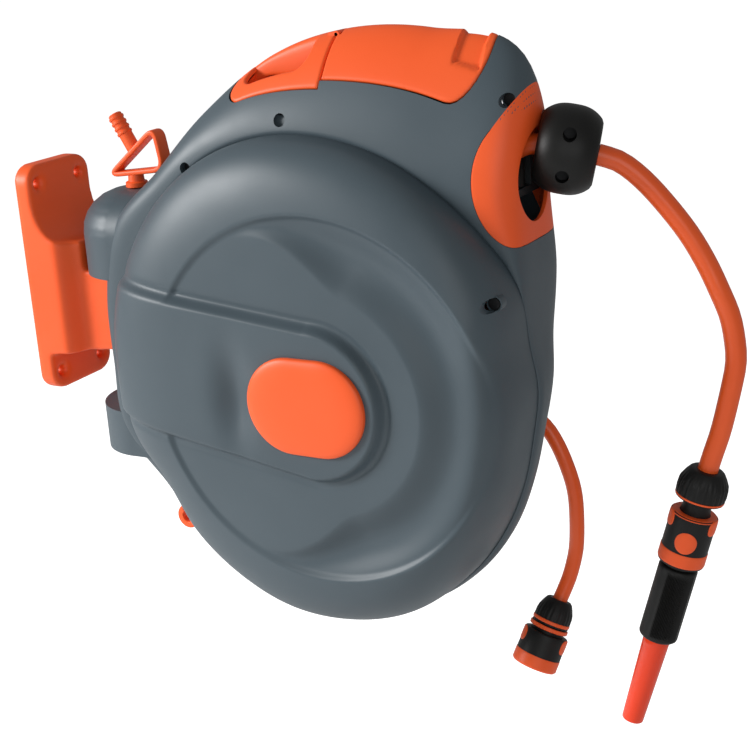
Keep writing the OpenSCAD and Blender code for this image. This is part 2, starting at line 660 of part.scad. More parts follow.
module swivel_yoke() color(case_grey) difference() {
    union() {
        upper_lug(0);
        translate([pin_x, 0, 0]) {
            yoke_block(slot_top_z, lug_wall_h);
            translate([0, 0, lug_bottom_z]) cylinder(d = lug_d, h = lower_lug_h);
            yoke_block(lug_bottom_z, lower_lug_h);
            translate([yoke_reach - web_t, -yoke_half_w, lug_bottom_z])
                cube([web_t, 2 * yoke_half_w, lug_dome_z - lug_bottom_z]);
        }
    }
    translate([pin_x, 0, lug_bottom_z - over])
        cylinder(d = pin_d + 2 * run_clear, h = lug_top_z - lug_bottom_z + 2 * over);
    for (z = yoke_screw_heights()) at_yoke_screw(z) {
        translate([0, 0, -over]) cylinder(d = head_d + 2 * part_gap, h = over + head_h + over);
        cylinder(d = screw_d + 2 * hair, h = yoke_screw_l + over);
    }
}
module screw(head_at, l) translate([0, 0, head_at]) {
    cylinder(d = head_d, h = head_h);
    cylinder(d = screw_d, h = l);
}
module case_screws() color(steel) {
    for (i = screws) at_screw(i) screw(-screw_rise(i) + screw_sink, screw_rise(i) - screw_sink + screw_bite - over);
    for (z = yoke_screw_heights()) at_yoke_screw(z) screw(over, yoke_screw_l - over);
}
module side_badge() color(trim_orange) across(-near_top - badge_t, -near_top) translate([axis_x, axis_z]) {
    square([badge_l - badge_w, badge_w], center = true);
    for (s = [-1, 1]) translate([s * (badge_l - badge_w) / 2, 0]) circle(d = badge_w);
}
hook_angle = 219;
hook_d = 19;
hook_bore_d = 9;
hook_out = 14;
hook_y = -14;
hook_w = 8;
hook_place = polar(hook_angle, out_r(hook_angle) + hook_out);
module hook_loop() color(trim_orange) across(hook_y, hook_y + hook_w) difference() {
    union() {
        translate(hook_place) circle(d = hook_d);
        translate(hook_place) rotate(hook_angle) translate([-2 * hook_out, -hook_d / 2]) square([2 * hook_out, hook_d]);
    }
    translate(hook_place) circle(d = hook_bore_d);
    outline(-hair);
}

// Top: handle, well, lid and tray, as patches of the case's own skin
hinge_angle = 91;
hinge_inset = 2.5;
knuckle_d = 5;
lid_knuckle_half = 3.5;
knuckle_reach = 7;
notch_l = 4;
link_l = 6;
link_t = 3;
hinge_place = polar(hinge_angle, out_r(hinge_angle) - hinge_inset);
handle_columns = [14, 20];
lid_columns = [9, 16];
nose_columns = [4, 11];
module at_hinge(y) translate([hinge_place[0], y, hinge_place[1]]) rotate([-90, 0, 0]) children();
module knuckle(y0, y1) at_hinge(y0) cylinder(d = knuckle_d, h = y1 - y0);
module hinge_link(side, y0, y1)
    translate([hinge_place[0] + min(0, side * link_l), y0, hinge_place[1] - link_t / 2]) cube([link_l, y1 - y0, link_t]);
module hinge_notch() plan() plan_box(hinge_place[0] - notch_l, hinge_place[0] + notch_l, knuckle_reach + part_gap);
module skin(columns) difference() {
    intersection() {
        loaf(columns[0], columns[1], 0);
        plan() children();
    }
    loaf(columns[0], columns[1], wall_t);
}
module handle_outline(grow) {
    half = handle_half + grow;
    back = handle_back_x - grow;
    r = handle_corner_r + grow;
    translate([back + r, -half]) square([hinge_place[0] - lid_gap - back - r, 2 * half]);
    translate([back, -half + r]) square([2 * r, 2 * (half - r)]);
    for (y = [-1, 1]) translate([back + r, y * (half - r)]) circle(r = r);
}
grip_corner_r = 9;
module grip_outline() {
    plan_box(grip_from_x, grip_to_x, grip_half - grip_corner_r);
    plan_box(grip_from_x + grip_corner_r, grip_to_x - grip_corner_r, grip_half);
    for (x = [grip_from_x + grip_corner_r, grip_to_x - grip_corner_r], y = [-1, 1])
        translate([x, y * (grip_half - grip_corner_r)]) circle(r = grip_corner_r);
}
module grip_holes() difference() {
    grip_outline();
    plan_box(grip_from_x - over, grip_to_x + over, bar_half);
}
module grip_bar() difference() {
    intersection() {
        loaf(handle_columns[0], handle_columns[1], wall_t / 2);
        plan() plan_box(grip_from_x + part_gap, grip_to_x - part_gap, bar_half);
    }
    across(-bar_half - over, bar_half + over) outline(bar_t);
}
module carry_handle() color(trim_orange) difference() {
    union() {
        difference() {
            skin(handle_columns) handle_outline(0);
            hinge_notch();
        }
        grip_bar();
        for (y = [-knuckle_reach, lid_knuckle_half + part_gap]) {
            l = knuckle_reach - lid_knuckle_half - part_gap;
            knuckle(y, y + l);
            hinge_link(-1, y, y + l);
        }
    }
    at_hinge(-knuckle_reach - over) cylinder(d = hinge_d + 2 * hair, h = 2 * (knuckle_reach + over));
    plan() grip_holes();
}
// A tub under the skin whose rim follows the skin's inside
module tub(columns, x0, x1, half, depth) difference() {
    intersection() {
        loaf(columns[0], columns[1], wall_t + hair);
        plan() plan_box(x0, x1, half);
    }
    across(-half - over, half + over) outline(depth);
    difference() {
        plan() plan_box(x0 + tray_t, x1 - tray_t, half - tray_t);
        across(-half, half) outline(depth - tray_t);
    }
}
module grip_well() color(trim_orange)
    tub(handle_columns, grip_from_x - tray_t, grip_to_x + tray_t, grip_half + tray_t, well_depth);
tray_lap = 2.8;
tray_back = 7;
tray_front = 11;
module storage_tray() color(dark_plastic)
    tub(lid_columns, hinge_place[0] + tray_back, lid_front_x - tray_front, lid_half + tray_lap, tray_depth);
module lid_outline(grow) {
    half = lid_half + grow;
    front = lid_front_x + grow;
    r = lid_corner_r + grow;
    back = hinge_place[0] + lid_gap;
    translate([back, -half]) square([front - r - back, 2 * half]);
    translate([front - 2 * r, -half + r]) square([2 * r, 2 * (half - r)]);
    for (y = [-1, 1]) translate([front - r, y * (half - r)]) circle(r = r);
}
recess_back = 23;
recess_front = 5;
recess_half = 19;
recess_h = 1.8;
module recess_box() plan() plan_box(lid_front_x - recess_back, lid_front_x - recess_front, recess_half);
module lid() color(trim_orange) difference() {
    union() {
        difference() {
            skin(lid_columns) lid_outline(0);
            hinge_notch();
        }
        knuckle(-lid_knuckle_half, lid_knuckle_half);
        hinge_link(1, -lid_knuckle_half, lid_knuckle_half);
    }
    at_hinge(-knuckle_reach - over) cylinder(d = hinge_d + 2 * run_clear, h = 2 * (knuckle_reach + over));
    difference() {
        recess_box();
        loaf(lid_columns[0], lid_columns[1], recess_h);
    }
}
module lid_hinge_pin() color(steel) at_hinge(-knuckle_reach) cylinder(d = hinge_d, h = 2 * knuckle_reach);

// Outlet trim and rollers
module stop_form(grow) along(stop_in, stop_way) rotate_extrude() polygon(concat(
    [[0, -grow]],
    [for (i = [0 : 16]) let (q = i / 8 - 1)
        [stop_d / 2 - (stop_d - stop_end_d) / 2 * pow(q, 4) + grow, stop_l / 2 * (1 + q) + grow * q]],
    [[0, stop_l + grow]]));
module mouth() translate([trim_x - trim_half_l, 0, trim_z]) rotate([90, 0, 90]) linear_extrude(2 * trim_half_l)
    polygon([for (a = [0 : 10 : 350]) [mouth_half * cos(a), mouth_h / 2 * sin(a)]]);
module outlet_trim() color(trim_orange) difference() {
    intersection() {
        loaf(nose_columns[0], nose_columns[1], 0);
        across(-near_top, far_depth) trim_outline(0);
    }
    loaf(nose_columns[0], nose_columns[1], wall_t);
    mouth();
    stop_form(part_gap);
}
roller_x = axis_x + 0.54 * case_r;
roller_z = axis_z + 0.755 * case_r;
roller_y = 14.4;
module at_roller(side, z) translate([roller_x, side * roller_y, z]) children();
roller_bottom_z = roller_z - roller_l / 2;
module roller(side) color(black_plastic) at_roller(side, roller_bottom_z) difference() {
    cylinder(d = roller_d, h = roller_l);
    translate([0, 0, -over]) cylinder(d = roller_pin_d + 2 * run_clear, h = roller_l + 2 * over);
}
module near_roller() roller(-1);
module far_roller() roller(1);
frame_in_half = roller_l / 2 + part_gap;
frame_half_y = 24;
frame_reach = 50;
module roller_frame() color(dark_plastic) difference() {
    intersection() {
        translate([roller_x - frame_l / 2, -frame_reach, roller_z - frame_in_half - frame_t])
            cube([frame_l, 2 * frame_reach, 2 * (frame_in_half + frame_t)]);
        loaf(nose_columns[0], nose_columns[1], wall_t + lid_gap);
    }
    translate([roller_x - frame_l, -frame_half_y, roller_z - frame_in_half])
        cube([2 * frame_l, 2 * frame_half_y, 2 * frame_in_half]);
    for (s = [-1, 1]) at_roller(s, roller_z - frame_in_half - frame_t - over)
        cylinder(d = roller_pin_d + 2 * hair, h = 2 * (frame_in_half + frame_t + over));
    for (i = screws) at_screw(i) translate([0, 0, -frame_reach]) cylinder(d = boss_d + 2 * part_gap, h = 2 * frame_reach);
}
module roller_pins() color(steel) for (s = [-1, 1]) at_roller(s, roller_z - frame_in_half - frame_t)
    cylinder(d = roller_pin_d, h = 2 * (frame_in_half + frame_t));

// Drum
drum_far_y = drum_near_y + drum_w;
axle_near_y = -(near_top - wall_t);
axle_far_y = elbow_face_y + 12;
bush_out_d = axle_d + 2 * run_clear + 2 * drum_bush_t;
module axle() color(steel) difference() {
    turned(axle_d, axle_near_y, axle_far_y);
    turned(axle_bore_d, 0, axle_far_y + over);
}
module drum_core() color(dark_plastic) tube_y(core_d, core_d - 2 * core_t, drum_near_y, drum_far_y);
module near_flange() color(dark_plastic) tube_y(flange_d, bush_out_d, drum_near_y - flange_t, drum_near_y);
module far_flange() color(dark_plastic) tube_y(flange_d, bush_out_d, drum_far_y, drum_far_y + flange_t);
module drum_bushes() color(black_plastic) for (y = [drum_near_y - flange_t, drum_far_y])
    tube_y(bush_out_d - 2 * hair, axle_d + 2 * run_clear, y, y + flange_t);
hub_l = 26;
hub_t = 4;
seal_t = 3;
hub_bore_d = axle_d + 5;
module rotary_hub() color(black_plastic) tube_y(hub_bore_d + 2 * hub_t, hub_bore_d, drum_far_y - hub_l, drum_far_y);
module axle_seals() color("#202020") for (y = [drum_far_y - hub_l, drum_far_y - seal_t])
    tube_y(hub_bore_d - 2 * hair, axle_d + 2 * run_clear, y, y + seal_t);
cover_y = drum_near_y + strip_spring_w + 6;
module spring_cover() color(dark_plastic) tube_y(core_d - 2 * core_t - 2 * hair, axle_d + 2 * part_gap, cover_y, cover_y + cover_t);
spring_in_r = axle_d / 2 + part_gap;
spring_out_r = core_d / 2 - core_t - strip_spring_t - part_gap;
spring_y = drum_near_y + 3;
spring_steps = 36;
function spring_point(k, grow) =
    let (t = 360 * k / spring_steps,
        r = spring_in_r + (spring_out_r - spring_in_r) * k / (spring_steps * spring_turns) + grow)
    [r * cos(t), r * sin(t)];
module power_spring() color(steel) across(spring_y, spring_y + strip_spring_w) translate([axis_x, axis_z])
    polygon(concat([for (k = [0 : spring_steps * spring_turns]) spring_point(k, 0)],
        [for (k = [spring_steps * spring_turns : -1 : 0]) spring_point(k, strip_spring_t)]));
ratchet_far_y = drum_near_y - flange_t;
ratchet_ring_t = 10;
module ratchet_ring() color(dark_plastic) across(ratchet_far_y - ratchet_t, ratchet_far_y) translate([axis_x, axis_z])
    difference() {
        polygon([for (i = [0 : teeth - 1], half = [0, 1]) let (t = 360 * i / teeth, r = ratchet_d / 2 - half * tooth_h)
            [r * cos(t), r * sin(t)]]);
        circle(d = ratchet_d - 2 * tooth_h - 2 * ratchet_ring_t);
    }
pawl_angle = 200;
pawl_r = ratchet_d / 2 + 14;
pawl_w = 8;
pawl_tip_w = 3;
pawl_place = polar(pawl_angle, pawl_r);
pawl_y = ratchet_far_y - ratchet_t;
pawl_lean = 62;
module pawl() color(black_plastic) translate([pawl_place[0], pawl_y, pawl_place[1]]) difference() {
    rotate([0, -pawl_angle - 180 + pawl_lean, 0]) rotate([-90, 0, 0]) linear_extrude(ratchet_t - part_gap) {
        circle(d = pawl_w);
        polygon([[0, -pawl_w / 2], [pawl_l, -pawl_tip_w / 2], [pawl_l, pawl_tip_w / 2], [0, pawl_w / 2]]);
    }
    translate([0, -over, 0]) rotate([-90, 0, 0]) cylinder(d = pawl_pin_d + 2 * run_clear, h = ratchet_t + 2 * over);
}
pawl_pin_near_y = -(near_rise(pawl_angle, pawl_r) - wall_t);
module pawl_pin() color(steel) translate([pawl_place[0], pawl_pin_near_y + part_gap, pawl_place[1]])
    rotate([-90, 0, 0]) cylinder(d = pawl_pin_d, h = pawl_y + ratchet_t - pawl_pin_near_y - 2 * part_gap);
pipe_d = 14;
pipe_y = drum_far_y - hub_l / 2;
pipe_t = 2;
module drum_pipe() color(black_plastic) translate([axis_x, pipe_y, axis_z]) rotate([0, 90, 0])
    translate([0, 0, hub_bore_d / 2 + hub_t]) difference() {
        cylinder(d = pipe_d, h = core_d / 2 - core_t - hub_bore_d / 2 - hub_t - part_gap);
        translate([0, 0, -over]) cylinder(d = pipe_d - 2 * pipe_t, h = core_d);
    }
module hose_pack() color(hose_orange) tube_y(pack_d, core_d + 2 * hair, drum_near_y + hair, drum_far_y - hair);
module hose_winding() color(hose_orange) hose(winding, hose_d, 6, [0, 1, 0]);
module hose_lead() color(hose_orange) hose(lead, hose_d, hose_sides, hose_side_way);

// Hose stop, free hose and nozzle
stop_bore_d = hose_d + 2 * hair;
module stop_half(side) color(black_plastic) difference() {
    stop_form(0);
    along(stop_in, stop_way) translate([0, 0, -over]) cylinder(d = stop_bore_d, h = stop_l + 2 * over);
    along(stop_in, stop_way) rotate([0, 0, side * 90]) translate([-hair, -stop_d, -over]) cube([stop_d, 2 * stop_d, stop_l + 2 * over]);
    for (s = [-1, 1]) at_stop_screw(s) {
        translate([0, 0, -stop_d]) cylinder(d = screw_d + 2 * hair, h = 2 * stop_d);
        translate([0, 0, stop_screw_l / 2 - head_h]) cylinder(d = head_d + 2 * part_gap, h = stop_d);
    }
}
stop_screw_off = 13;
stop_screw_l = 30;
module at_stop_screw(s) along(stop_at, stop_way) translate([s * stop_screw_off, 0, 0]) rotate([90, 0, 0]) children();
module near_stop_half() stop_half(1);
module far_stop_half() stop_half(-1);
module stop_screws() color(steel) for (s = [-1, 1]) at_stop_screw(s) translate([0, 0, -stop_screw_l / 2]) {
    cylinder(d = screw_d, h = stop_screw_l);
    translate([0, 0, stop_screw_l - head_h]) cylinder(d = head_d, h = head_h);
}
module main_hose() color(hose_orange) hose(main_hose_path, hose_d, hose_sides, hose_side_way);
module on_nozzle(s) along(nozzle_at, nozzle_way) translate([0, 0, s]) children();
module ring(d, bore, h) difference() {
    cylinder(d = d, h = h);
    translate([0, 0, -over]) cylinder(d = bore, h = h + 2 * over);
}
nut_neck_share = 0.76;
flange_ring_t = 3;
connector_l = neck_l + release_l + part_gap;
module hose_nut() color(black_plastic) on_nozzle(0) difference() {
    union() {
        cylinder(d1 = nut_d * nut_neck_share, d2 = nut_d, h = nut_l / 2);
        translate([0, 0, nut_l / 2]) cylinder(d = nut_d, h = nut_l / 2);
    }
    translate([0, 0, -over]) cylinder(d = water_d, h = nut_l + 2 * over);
}
module hose_connector() color(black_plastic) on_nozzle(nut_l) ring(inner_d, water_d, connector_l);
module hose_collar() color(black_plastic) on_nozzle(nut_l + neck_l) ring(release_d, inner_d + 2 * part_gap, release_l);
nozzle_at_l = nut_l + connector_l;
disc_l = 2;
disc_d = twist_d - 2 * disc_l;
plug_l = 10;
module nozzle_body() color(black_plastic) on_nozzle(nozzle_at_l) difference() {
    union() {
        cylinder(d = disc_d, h = disc_l);
        cylinder(d = stem_d, h = disc_l + barrel_l + plug_l);
    }
    translate([0, 0, -over]) cylinder(d = water_d, h = disc_l + barrel_l + plug_l + 2 * over);
}
module nozzle_barrel() color(black_plastic) on_nozzle(nozzle_at_l + disc_l + part_gap)
    ring(twist_d, stem_d + 2 * part_gap, barrel_l - 2 * part_gap);
module nozzle_tip() color(hose_orange) on_nozzle(nozzle_at_l + disc_l + barrel_l) difference() {
    cylinder(d1 = tip_d, d2 = tip_end_d, h = tip_l);
    translate([0, 0, -over]) cylinder(d = stem_d + 2 * hair, h = plug_l + over);
    translate([0, 0, -over]) cylinder(d = water_d, h = tip_l + 2 * over);
}

// Inlet and leader
module inlet_plate() color(dark_plastic) tube_y(inlet_plate_d, axle_d + 2 * part_gap, far_depth, elbow_face_y);
elbow_far_y = elbow_y + 12;
module inlet_elbow() color(black_plastic) difference() {
    union() {
        turned(elbow_d, elbow_face_y, elbow_far_y);
        translate([axis_x, elbow_y, axis_z]) rotate([0, 90 + elbow_turn, 0]) cylinder(d = branch_d, h = branch_l);
    }
    turned(axle_d + 2 * hair, elbow_face_y - over, axle_far_y);
    turned(axle_bore_d, elbow_face_y, elbow_y + branch_bore_d);
    translate([axis_x, elbow_y, axis_z]) rotate([0, 90 + elbow_turn, 0]) cylinder(d = branch_bore_d, h = branch_l + over);
}
module inlet_nut() color(black_plastic) translate([axis_x, elbow_y, axis_z]) rotate([0, 90 + elbow_turn, 0])
    translate([0, 0, branch_l - inlet_nut_over]) difference() {
        cylinder(d = inlet_nut_d, h = inlet_nut_l);
        translate([0, 0, -over]) cylinder(d = branch_d + 2 * hair, h = inlet_nut_over + over);
        translate([0, 0, -over]) cylinder(d = leader_d / 2, h = inlet_nut_l + 2 * over);
    }
module leader_hose() color(hose_orange) hose(leader_path, leader_d, hose_sides, [0, 1, 0]);
module on_leader(s) along(leader_end, leader_way) translate([0, 0, s]) children();
leader_collar_at = leader_nut_l + flange_ring_t + release_travel + part_gap;
leader_connector_l = flange_ring_t + release_travel + leader_release_l + 3 * part_gap;
module leader_nut() color(black_plastic) on_leader(0) difference() {
    union() {
        cylinder(d1 = leader_nut_d * nut_neck_share, d2 = leader_nut_d, h = leader_nut_l / 2);
        translate([0, 0, leader_nut_l / 2]) cylinder(d = leader_nut_d, h = leader_nut_l / 2);
    }
    translate([0, 0, -over]) cylinder(d = leader_d / 2, h = leader_nut_l + 2 * over);
}
module leader_connector() color(black_plastic) on_leader(leader_nut_l) difference() {
    union() {
        cylinder(d = leader_nut_d, h = flange_ring_t);
        cylinder(d = leader_inner_d, h = leader_connector_l);
    }
    translate([0, 0, -over]) cylinder(d = leader_d / 2, h = leader_connector_l + 2 * over);
    translate([0, 0, leader_connector_l - socket_l]) cylinder(d = socket_d, h = socket_l + over);
}
module leader_collar() color(black_plastic) on_leader(leader_collar_at)
    ring(leader_release_d, leader_inner_d + 2 * part_gap, leader_release_l);

// Swivel pin with its finger loop and parking peg
loop_corner_shares = [[-0.80, 0.34], [1.14, 0.56], [0.94, 1.74]];
loop_size = 25;
pin_tip_l = 4;
pin_seat_z = lug_top_z + hair;
function loop_corner(i) = [pin_x, lug_top_z] + loop_size * loop_corner_shares[i % 3];
loop_foot_share = 0.45;
loop_foot_z = lug_top_z + loop_size * loop_foot_share;
module loop_bar(i) {
    d = loop_corner(i + 1) - loop_corner(i);
    translate(loop_corner(i)) rotate(atan2(d[1], d[0]))
        translate([-loop_t / 2, -loop_t / 2]) square([norm(d) + loop_t, loop_t]);
}
peg_lean = -30;
peg_rib_t = 2;
peg_ribs = 4;
peg_rib_h = 0.8;
module swivel_pin() color(trim_orange) {
    pin_bottom = lug_bottom_z - pin_tip_l;
    translate([pin_x, 0, pin_bottom]) cylinder(d1 = pin_d - pin_tip_l, d2 = pin_d, h = pin_tip_l);
    translate([pin_x, 0, lug_bottom_z]) cylinder(d = pin_d, h = loop_foot_z - lug_bottom_z);
    translate([pin_x, 0, pin_seat_z]) cylinder(d = collar_d, h = collar_h);
    across(-loop_w / 2, loop_w / 2) for (i = [0 : 2]) loop_bar(i);
    peg_at = (loop_corner(0) + loop_corner(2)) / 2;
    translate([peg_at[0], 0, peg_at[1]]) rotate([0, peg_lean, 0]) {
        cylinder(d = peg_d, h = peg_l);
        for (i = [1 : peg_ribs]) translate([0, 0, peg_l - 2 * i * peg_rib_t]) cylinder(d = peg_d + 2 * peg_rib_h, h = peg_rib_t);
    }
}

wall_bracket();
pivot_bushes();
near_shell();
far_shell();
swivel_yoke();
case_screws();
side_badge();
carry_handle();
grip_well();
storage_tray();
lid();
lid_hinge_pin();
outlet_trim();
roller_frame();
near_roller();
far_roller();
roller_pins();
axle();
drum_core();
near_flange();
far_flange();
drum_bushes();
rotary_hub();
axle_seals();
spring_cover();
power_spring();
ratchet_ring();
pawl();
pawl_pin();
drum_pipe();
hose_pack();
hose_winding();
hose_lead();
near_stop_half();
far_stop_half();
stop_screws();
main_hose();
hose_nut();
hose_connector();
hose_collar();
nozzle_body();
nozzle_barrel();
nozzle_tip();
inlet_plate();
inlet_elbow();
inlet_nut();
leader_hose();
leader_nut();
leader_connector();
leader_collar();
swivel_pin();
hook_loop();
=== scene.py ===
# %% [markdown]
# A wall mounted hose reel. The CAD model gives every rigid piece its place and size, and this
# lesson dresses it: smooth moulded case halves, orange trim, rubber hoses and ribbed fittings.
# First the imported frame is loaded.

# %% Load the frame
import math

import bpy
import bmesh
import numpy as np
from mathutils import Matrix, Vector


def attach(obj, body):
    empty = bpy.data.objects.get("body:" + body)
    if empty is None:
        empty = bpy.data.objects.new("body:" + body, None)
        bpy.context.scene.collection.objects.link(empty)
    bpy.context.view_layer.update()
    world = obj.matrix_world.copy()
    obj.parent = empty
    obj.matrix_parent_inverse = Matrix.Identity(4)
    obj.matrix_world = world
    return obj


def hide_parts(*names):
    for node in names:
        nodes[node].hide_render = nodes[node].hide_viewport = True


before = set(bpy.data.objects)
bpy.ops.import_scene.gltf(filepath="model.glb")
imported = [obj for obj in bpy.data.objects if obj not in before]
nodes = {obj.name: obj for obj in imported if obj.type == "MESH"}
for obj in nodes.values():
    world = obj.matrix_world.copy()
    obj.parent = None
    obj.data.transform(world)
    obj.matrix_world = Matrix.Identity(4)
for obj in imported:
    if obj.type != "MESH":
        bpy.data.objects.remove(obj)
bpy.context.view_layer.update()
MM = 0.001

# %% [markdown]
# The camera stands where the photograph was taken: a little above the reel, thirty degrees round
# from its broad side, and rolled by a few degrees. A long lens keeps the case from looking bulged.

# %% Camera
azimuth, elevation, roll = (math.radians(v) for v in (30.0, 18.013, -3.84))
camera_at = Vector((0.76814, -0.855825, 0.264284))
sensor_mm, lens_mm, far_clip = 36, 72.143, 20
right = Vector((math.cos(azimuth), math.sin(azimuth), 0))
forward = Vector((-math.sin(azimuth) * math.cos(elevation), math.cos(azimuth) * math.cos(elevation),
                  -math.sin(elevation)))
up = right.cross(forward)
side = right * math.cos(roll) + up * math.sin(roll)
top = -right * math.sin(roll) + up * math.cos(roll)
camera = bpy.data.objects.new("camera", bpy.data.cameras.new("camera"))
bpy.context.scene.collection.objects.link(camera)
camera.data.sensor_width = sensor_mm
camera.data.lens = lens_mm
camera.data.clip_end = far_clip
camera.matrix_world = Matrix.Translation(camera_at) @ Matrix((side, top, -forward)).transposed().to_4x4()
bpy.context.scene.camera = camera
print("camera at", tuple(round(v, 3) for v in camera.location))

# %% [markdown]
# A few small helpers follow. Pieces are made as plain lists of points and faces, then handed to
# Blender as a mesh. Every piece is parented to the body it rides on and takes the material of its finish
# slot.

# %% Helpers for pieces
pieces = {}
JOIN = 0.02 * MM


def linked(name, data):
    """A new object in the scene that shows a mesh, a curve or a light."""
    obj = bpy.data.objects.new(name, data)
    bpy.context.scene.collection.objects.link(obj)
    return obj


def finish_piece(obj, body, slot, node=None, angle=35):
    """Gives a piece its finish and its body, and hides the CAD node that it stands for."""
    obj.data.materials.clear()
    obj.data.materials.append(finishes[slot])
    obj.data.shade_smooth()
    obj.data.set_sharp_from_angle(angle=math.radians(angle))
    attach(obj, body)
    if node:
        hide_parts(node)
    pieces[obj.name] = obj


def face_outwards(mesh, join=0.0):
    """Joins points that lie closer than a given reach and turns every face outwards."""
    edit = bmesh.new()
    edit.from_mesh(mesh)
    if join:
        bmesh.ops.remove_doubles(edit, verts=edit.verts, dist=join)
    bmesh.ops.recalc_face_normals(edit, faces=edit.faces)
    edit.to_mesh(mesh)
    edit.free()


def mesh_object(name, points, faces):
    """An object from points in metres and faces that count them."""
    mesh = bpy.data.meshes.new(name)
    mesh.from_pydata([tuple(p) for p in points], [], [tuple(int(i) for i in f) for f in faces])
    mesh.validate()
    face_outwards(mesh)
    return linked(name, mesh)


def grid_faces(rows, count, closed=False):
    """Faces between rows of points that are closed rings; closed also joins the last row to the first."""
    faces = []
    for k in range(rows if closed else rows - 1):
        low, high = k * count, (k + 1) % rows * count
        for i in range(count):
            j = (i + 1) % count
            faces.append((low + i, low + j, high + j, high + i))
    return faces


def capped_faces(rows, count):
    """Faces of a tube of rings, with a flat cap at both ends."""
    last = (rows - 1) * count
    return grid_faces(rows, count) + [tuple(range(count))[::-1], tuple(range(last, last + count))]


def squared(wave, power):
    """A sine or cosine pushed towards its ends, which squares off a round section."""
    return np.sign(wave) * np.abs(wave) ** power


def bake(obj):
    """Turns an object's modifiers into its mesh."""
    graph = bpy.context.evaluated_depsgraph_get()
    mesh = bpy.data.meshes.new_from_object(obj.evaluated_get(graph))
    obj.modifiers.clear()
    old = obj.data
    obj.data = mesh
    bpy.data.meshes.remove(old)


def carve(obj, *tools, operation="DIFFERENCE"):
    """Takes each tool away from a piece in turn, or joins it on where the operation is UNION."""
    for tool in tools:
        step = obj.modifiers.new("carve", "BOOLEAN")
        step.operation = operation
        step.solver = "EXACT"
        step.object = tool
        bake(obj)


def drop(*objs):
    """Removes tools that have done their work."""
    for obj in objs:
        mesh = obj.data
        bpy.data.objects.remove(obj)
        bpy.data.meshes.remove(mesh)


def add_weld(obj, reach):
    step = obj.modifiers.new("weld", "WELD")
    step.merge_threshold = reach


def add_bevel(obj, width, segments, angle):
    step = obj.modifiers.new("round", "BEVEL")
    step.width = width * MM
    step.segments = segments
    step.limit_method = "ANGLE"
    step.angle_limit = math.radians(angle)
    return step


def soften(obj, width, segments, angle, weld=0.0):
    """Rounds the sharp edges of a mesh, as a mould does."""
    if weld:
        add_weld(obj, weld * MM)
    add_bevel(obj, width, segments, angle).use_clamp_overlap = True
    bake(obj)


# %% [markdown]
# The two hoses come next, since they reach furthest from the case. Each is a curve with a round
# bevel through the same points as its CAD solid. The orange main hose hangs from the stop to the
# nozzle, where its end runs on inside the nut as a real hose does, and the thinner leader runs from
# the inlet at the back to its own quick connector. Sizes are in millimetres from here on.

# %% Hoses
axis_x, axis_z = 270.0, -53.0
main_d, leader_d, hose_r = 13.6, 11, 6.7
stop_half, nut_run = 19, 46
inlet_y, elbow_reach, elbow_turn = 84, 48, math.radians(34)
stop_turn, stop_dip = math.radians(20), math.radians(12)
stop_way = Vector((math.cos(stop_turn) * math.cos(stop_dip), math.sin(stop_turn) * math.cos(stop_dip),
                   -math.sin(stop_dip)))
stop_at = Vector((417, 8, 102))
stop_in, stop_out = stop_at - stop_way * stop_half, stop_at + stop_way * stop_half
nozzle_at = Vector((498, 37, -111))
nozzle_way = Vector((-0.246, -0.089, -0.965)).normalized()
leader_end = Vector((378, 69, -242))
leader_way = Vector((-0.25, -0.42, -0.87)).normalized()
leader_start = Vector((axis_x + elbow_reach * math.cos(elbow_turn), inlet_y,
                       axis_z - elbow_reach * math.sin(elbow_turn)))
main_route = [(447, 19, 93), (460, 23, 82), (473, 28, 66), (486, 33, 47), (496, 37, 28), (504, 39, 10),
              (510, 42, -7), (513, 43, -23), (514, 43, -37), (512, 42, -52), (506, 40, -82), (501, 38, -100)]
hose_tail = [nozzle_at, nozzle_at + nozzle_way * (nut_run / 2), nozzle_at + nozzle_way * nut_run]
leader_route = [(330, 84, -93), (349, 84, -102), (364, 84, -113), (373, 84, -126), (380, 84, -142),
                (385, 84, -159), (387, 83, -177), (387, 81, -203), (384, 77, -222), (381, 73, -233)]


def cubic(a, b, c, d, f):
    """A smooth way from b to c at share f, led by the neighbours a and d."""
    return b + 0.5 * f * (c - a + f * (2 * a - 5 * b + 4 * c - d + f * (3 * (b - c) + d - a)))


def smooth_line(points, count):
    """Even points along a smooth line through the given ones."""
    pts = np.array([tuple(p) for p in points], float)
    ext = np.vstack([2 * pts[0] - pts[1], pts, 2 * pts[-1] - pts[-2]])
    fine = []
    for i in range(1, len(ext) - 2):
        for f in np.linspace(0, 1, 16, endpoint=False):
            fine.append(cubic(ext[i - 1], ext[i], ext[i + 1], ext[i + 2], f))
    fine.append(ext[-2])
    fine = np.array(fine)
    run = np.concatenate([[0], np.cumsum(np.linalg.norm(np.diff(fine, axis=0), axis=1))])
    even = np.linspace(0, run[-1], count)
    return np.stack([np.interp(even, run, fine[:, k]) for k in range(3)], -1)


def hose_curve(name, points, diameter):
    """A round curve through points, and its length in metres."""
    curve = bpy.data.curves.new(name, "CURVE")
    curve.dimensions = "3D"
    curve.bevel_depth = diameter / 2 * MM
    curve.bevel_resolution = 8
    curve.use_fill_caps = True
    curve.resolution_u = 4
    line = curve.splines.new("POLY")
    line.points.add(len(points) - 1)
    for p, q in zip(line.points, points):
        p.co = (q[0] * MM, q[1] * MM, q[2] * MM, 1)
    line.use_smooth = True
    length = float(np.linalg.norm(np.diff(points, axis=0), axis=1).sum()) * MM
    print(name, "length", round(length, 4))
    return linked(name, curve), length


main_line = smooth_line([stop_out, *main_route, *hose_tail], 46)
main_hose, main_length = hose_curve("main_hose_line", main_line, main_d)
leader_line = smooth_line([leader_start, *leader_route, leader_end], 36)
leader_hose, leader_length = hose_curve("leader_hose_line", leader_line, leader_d)

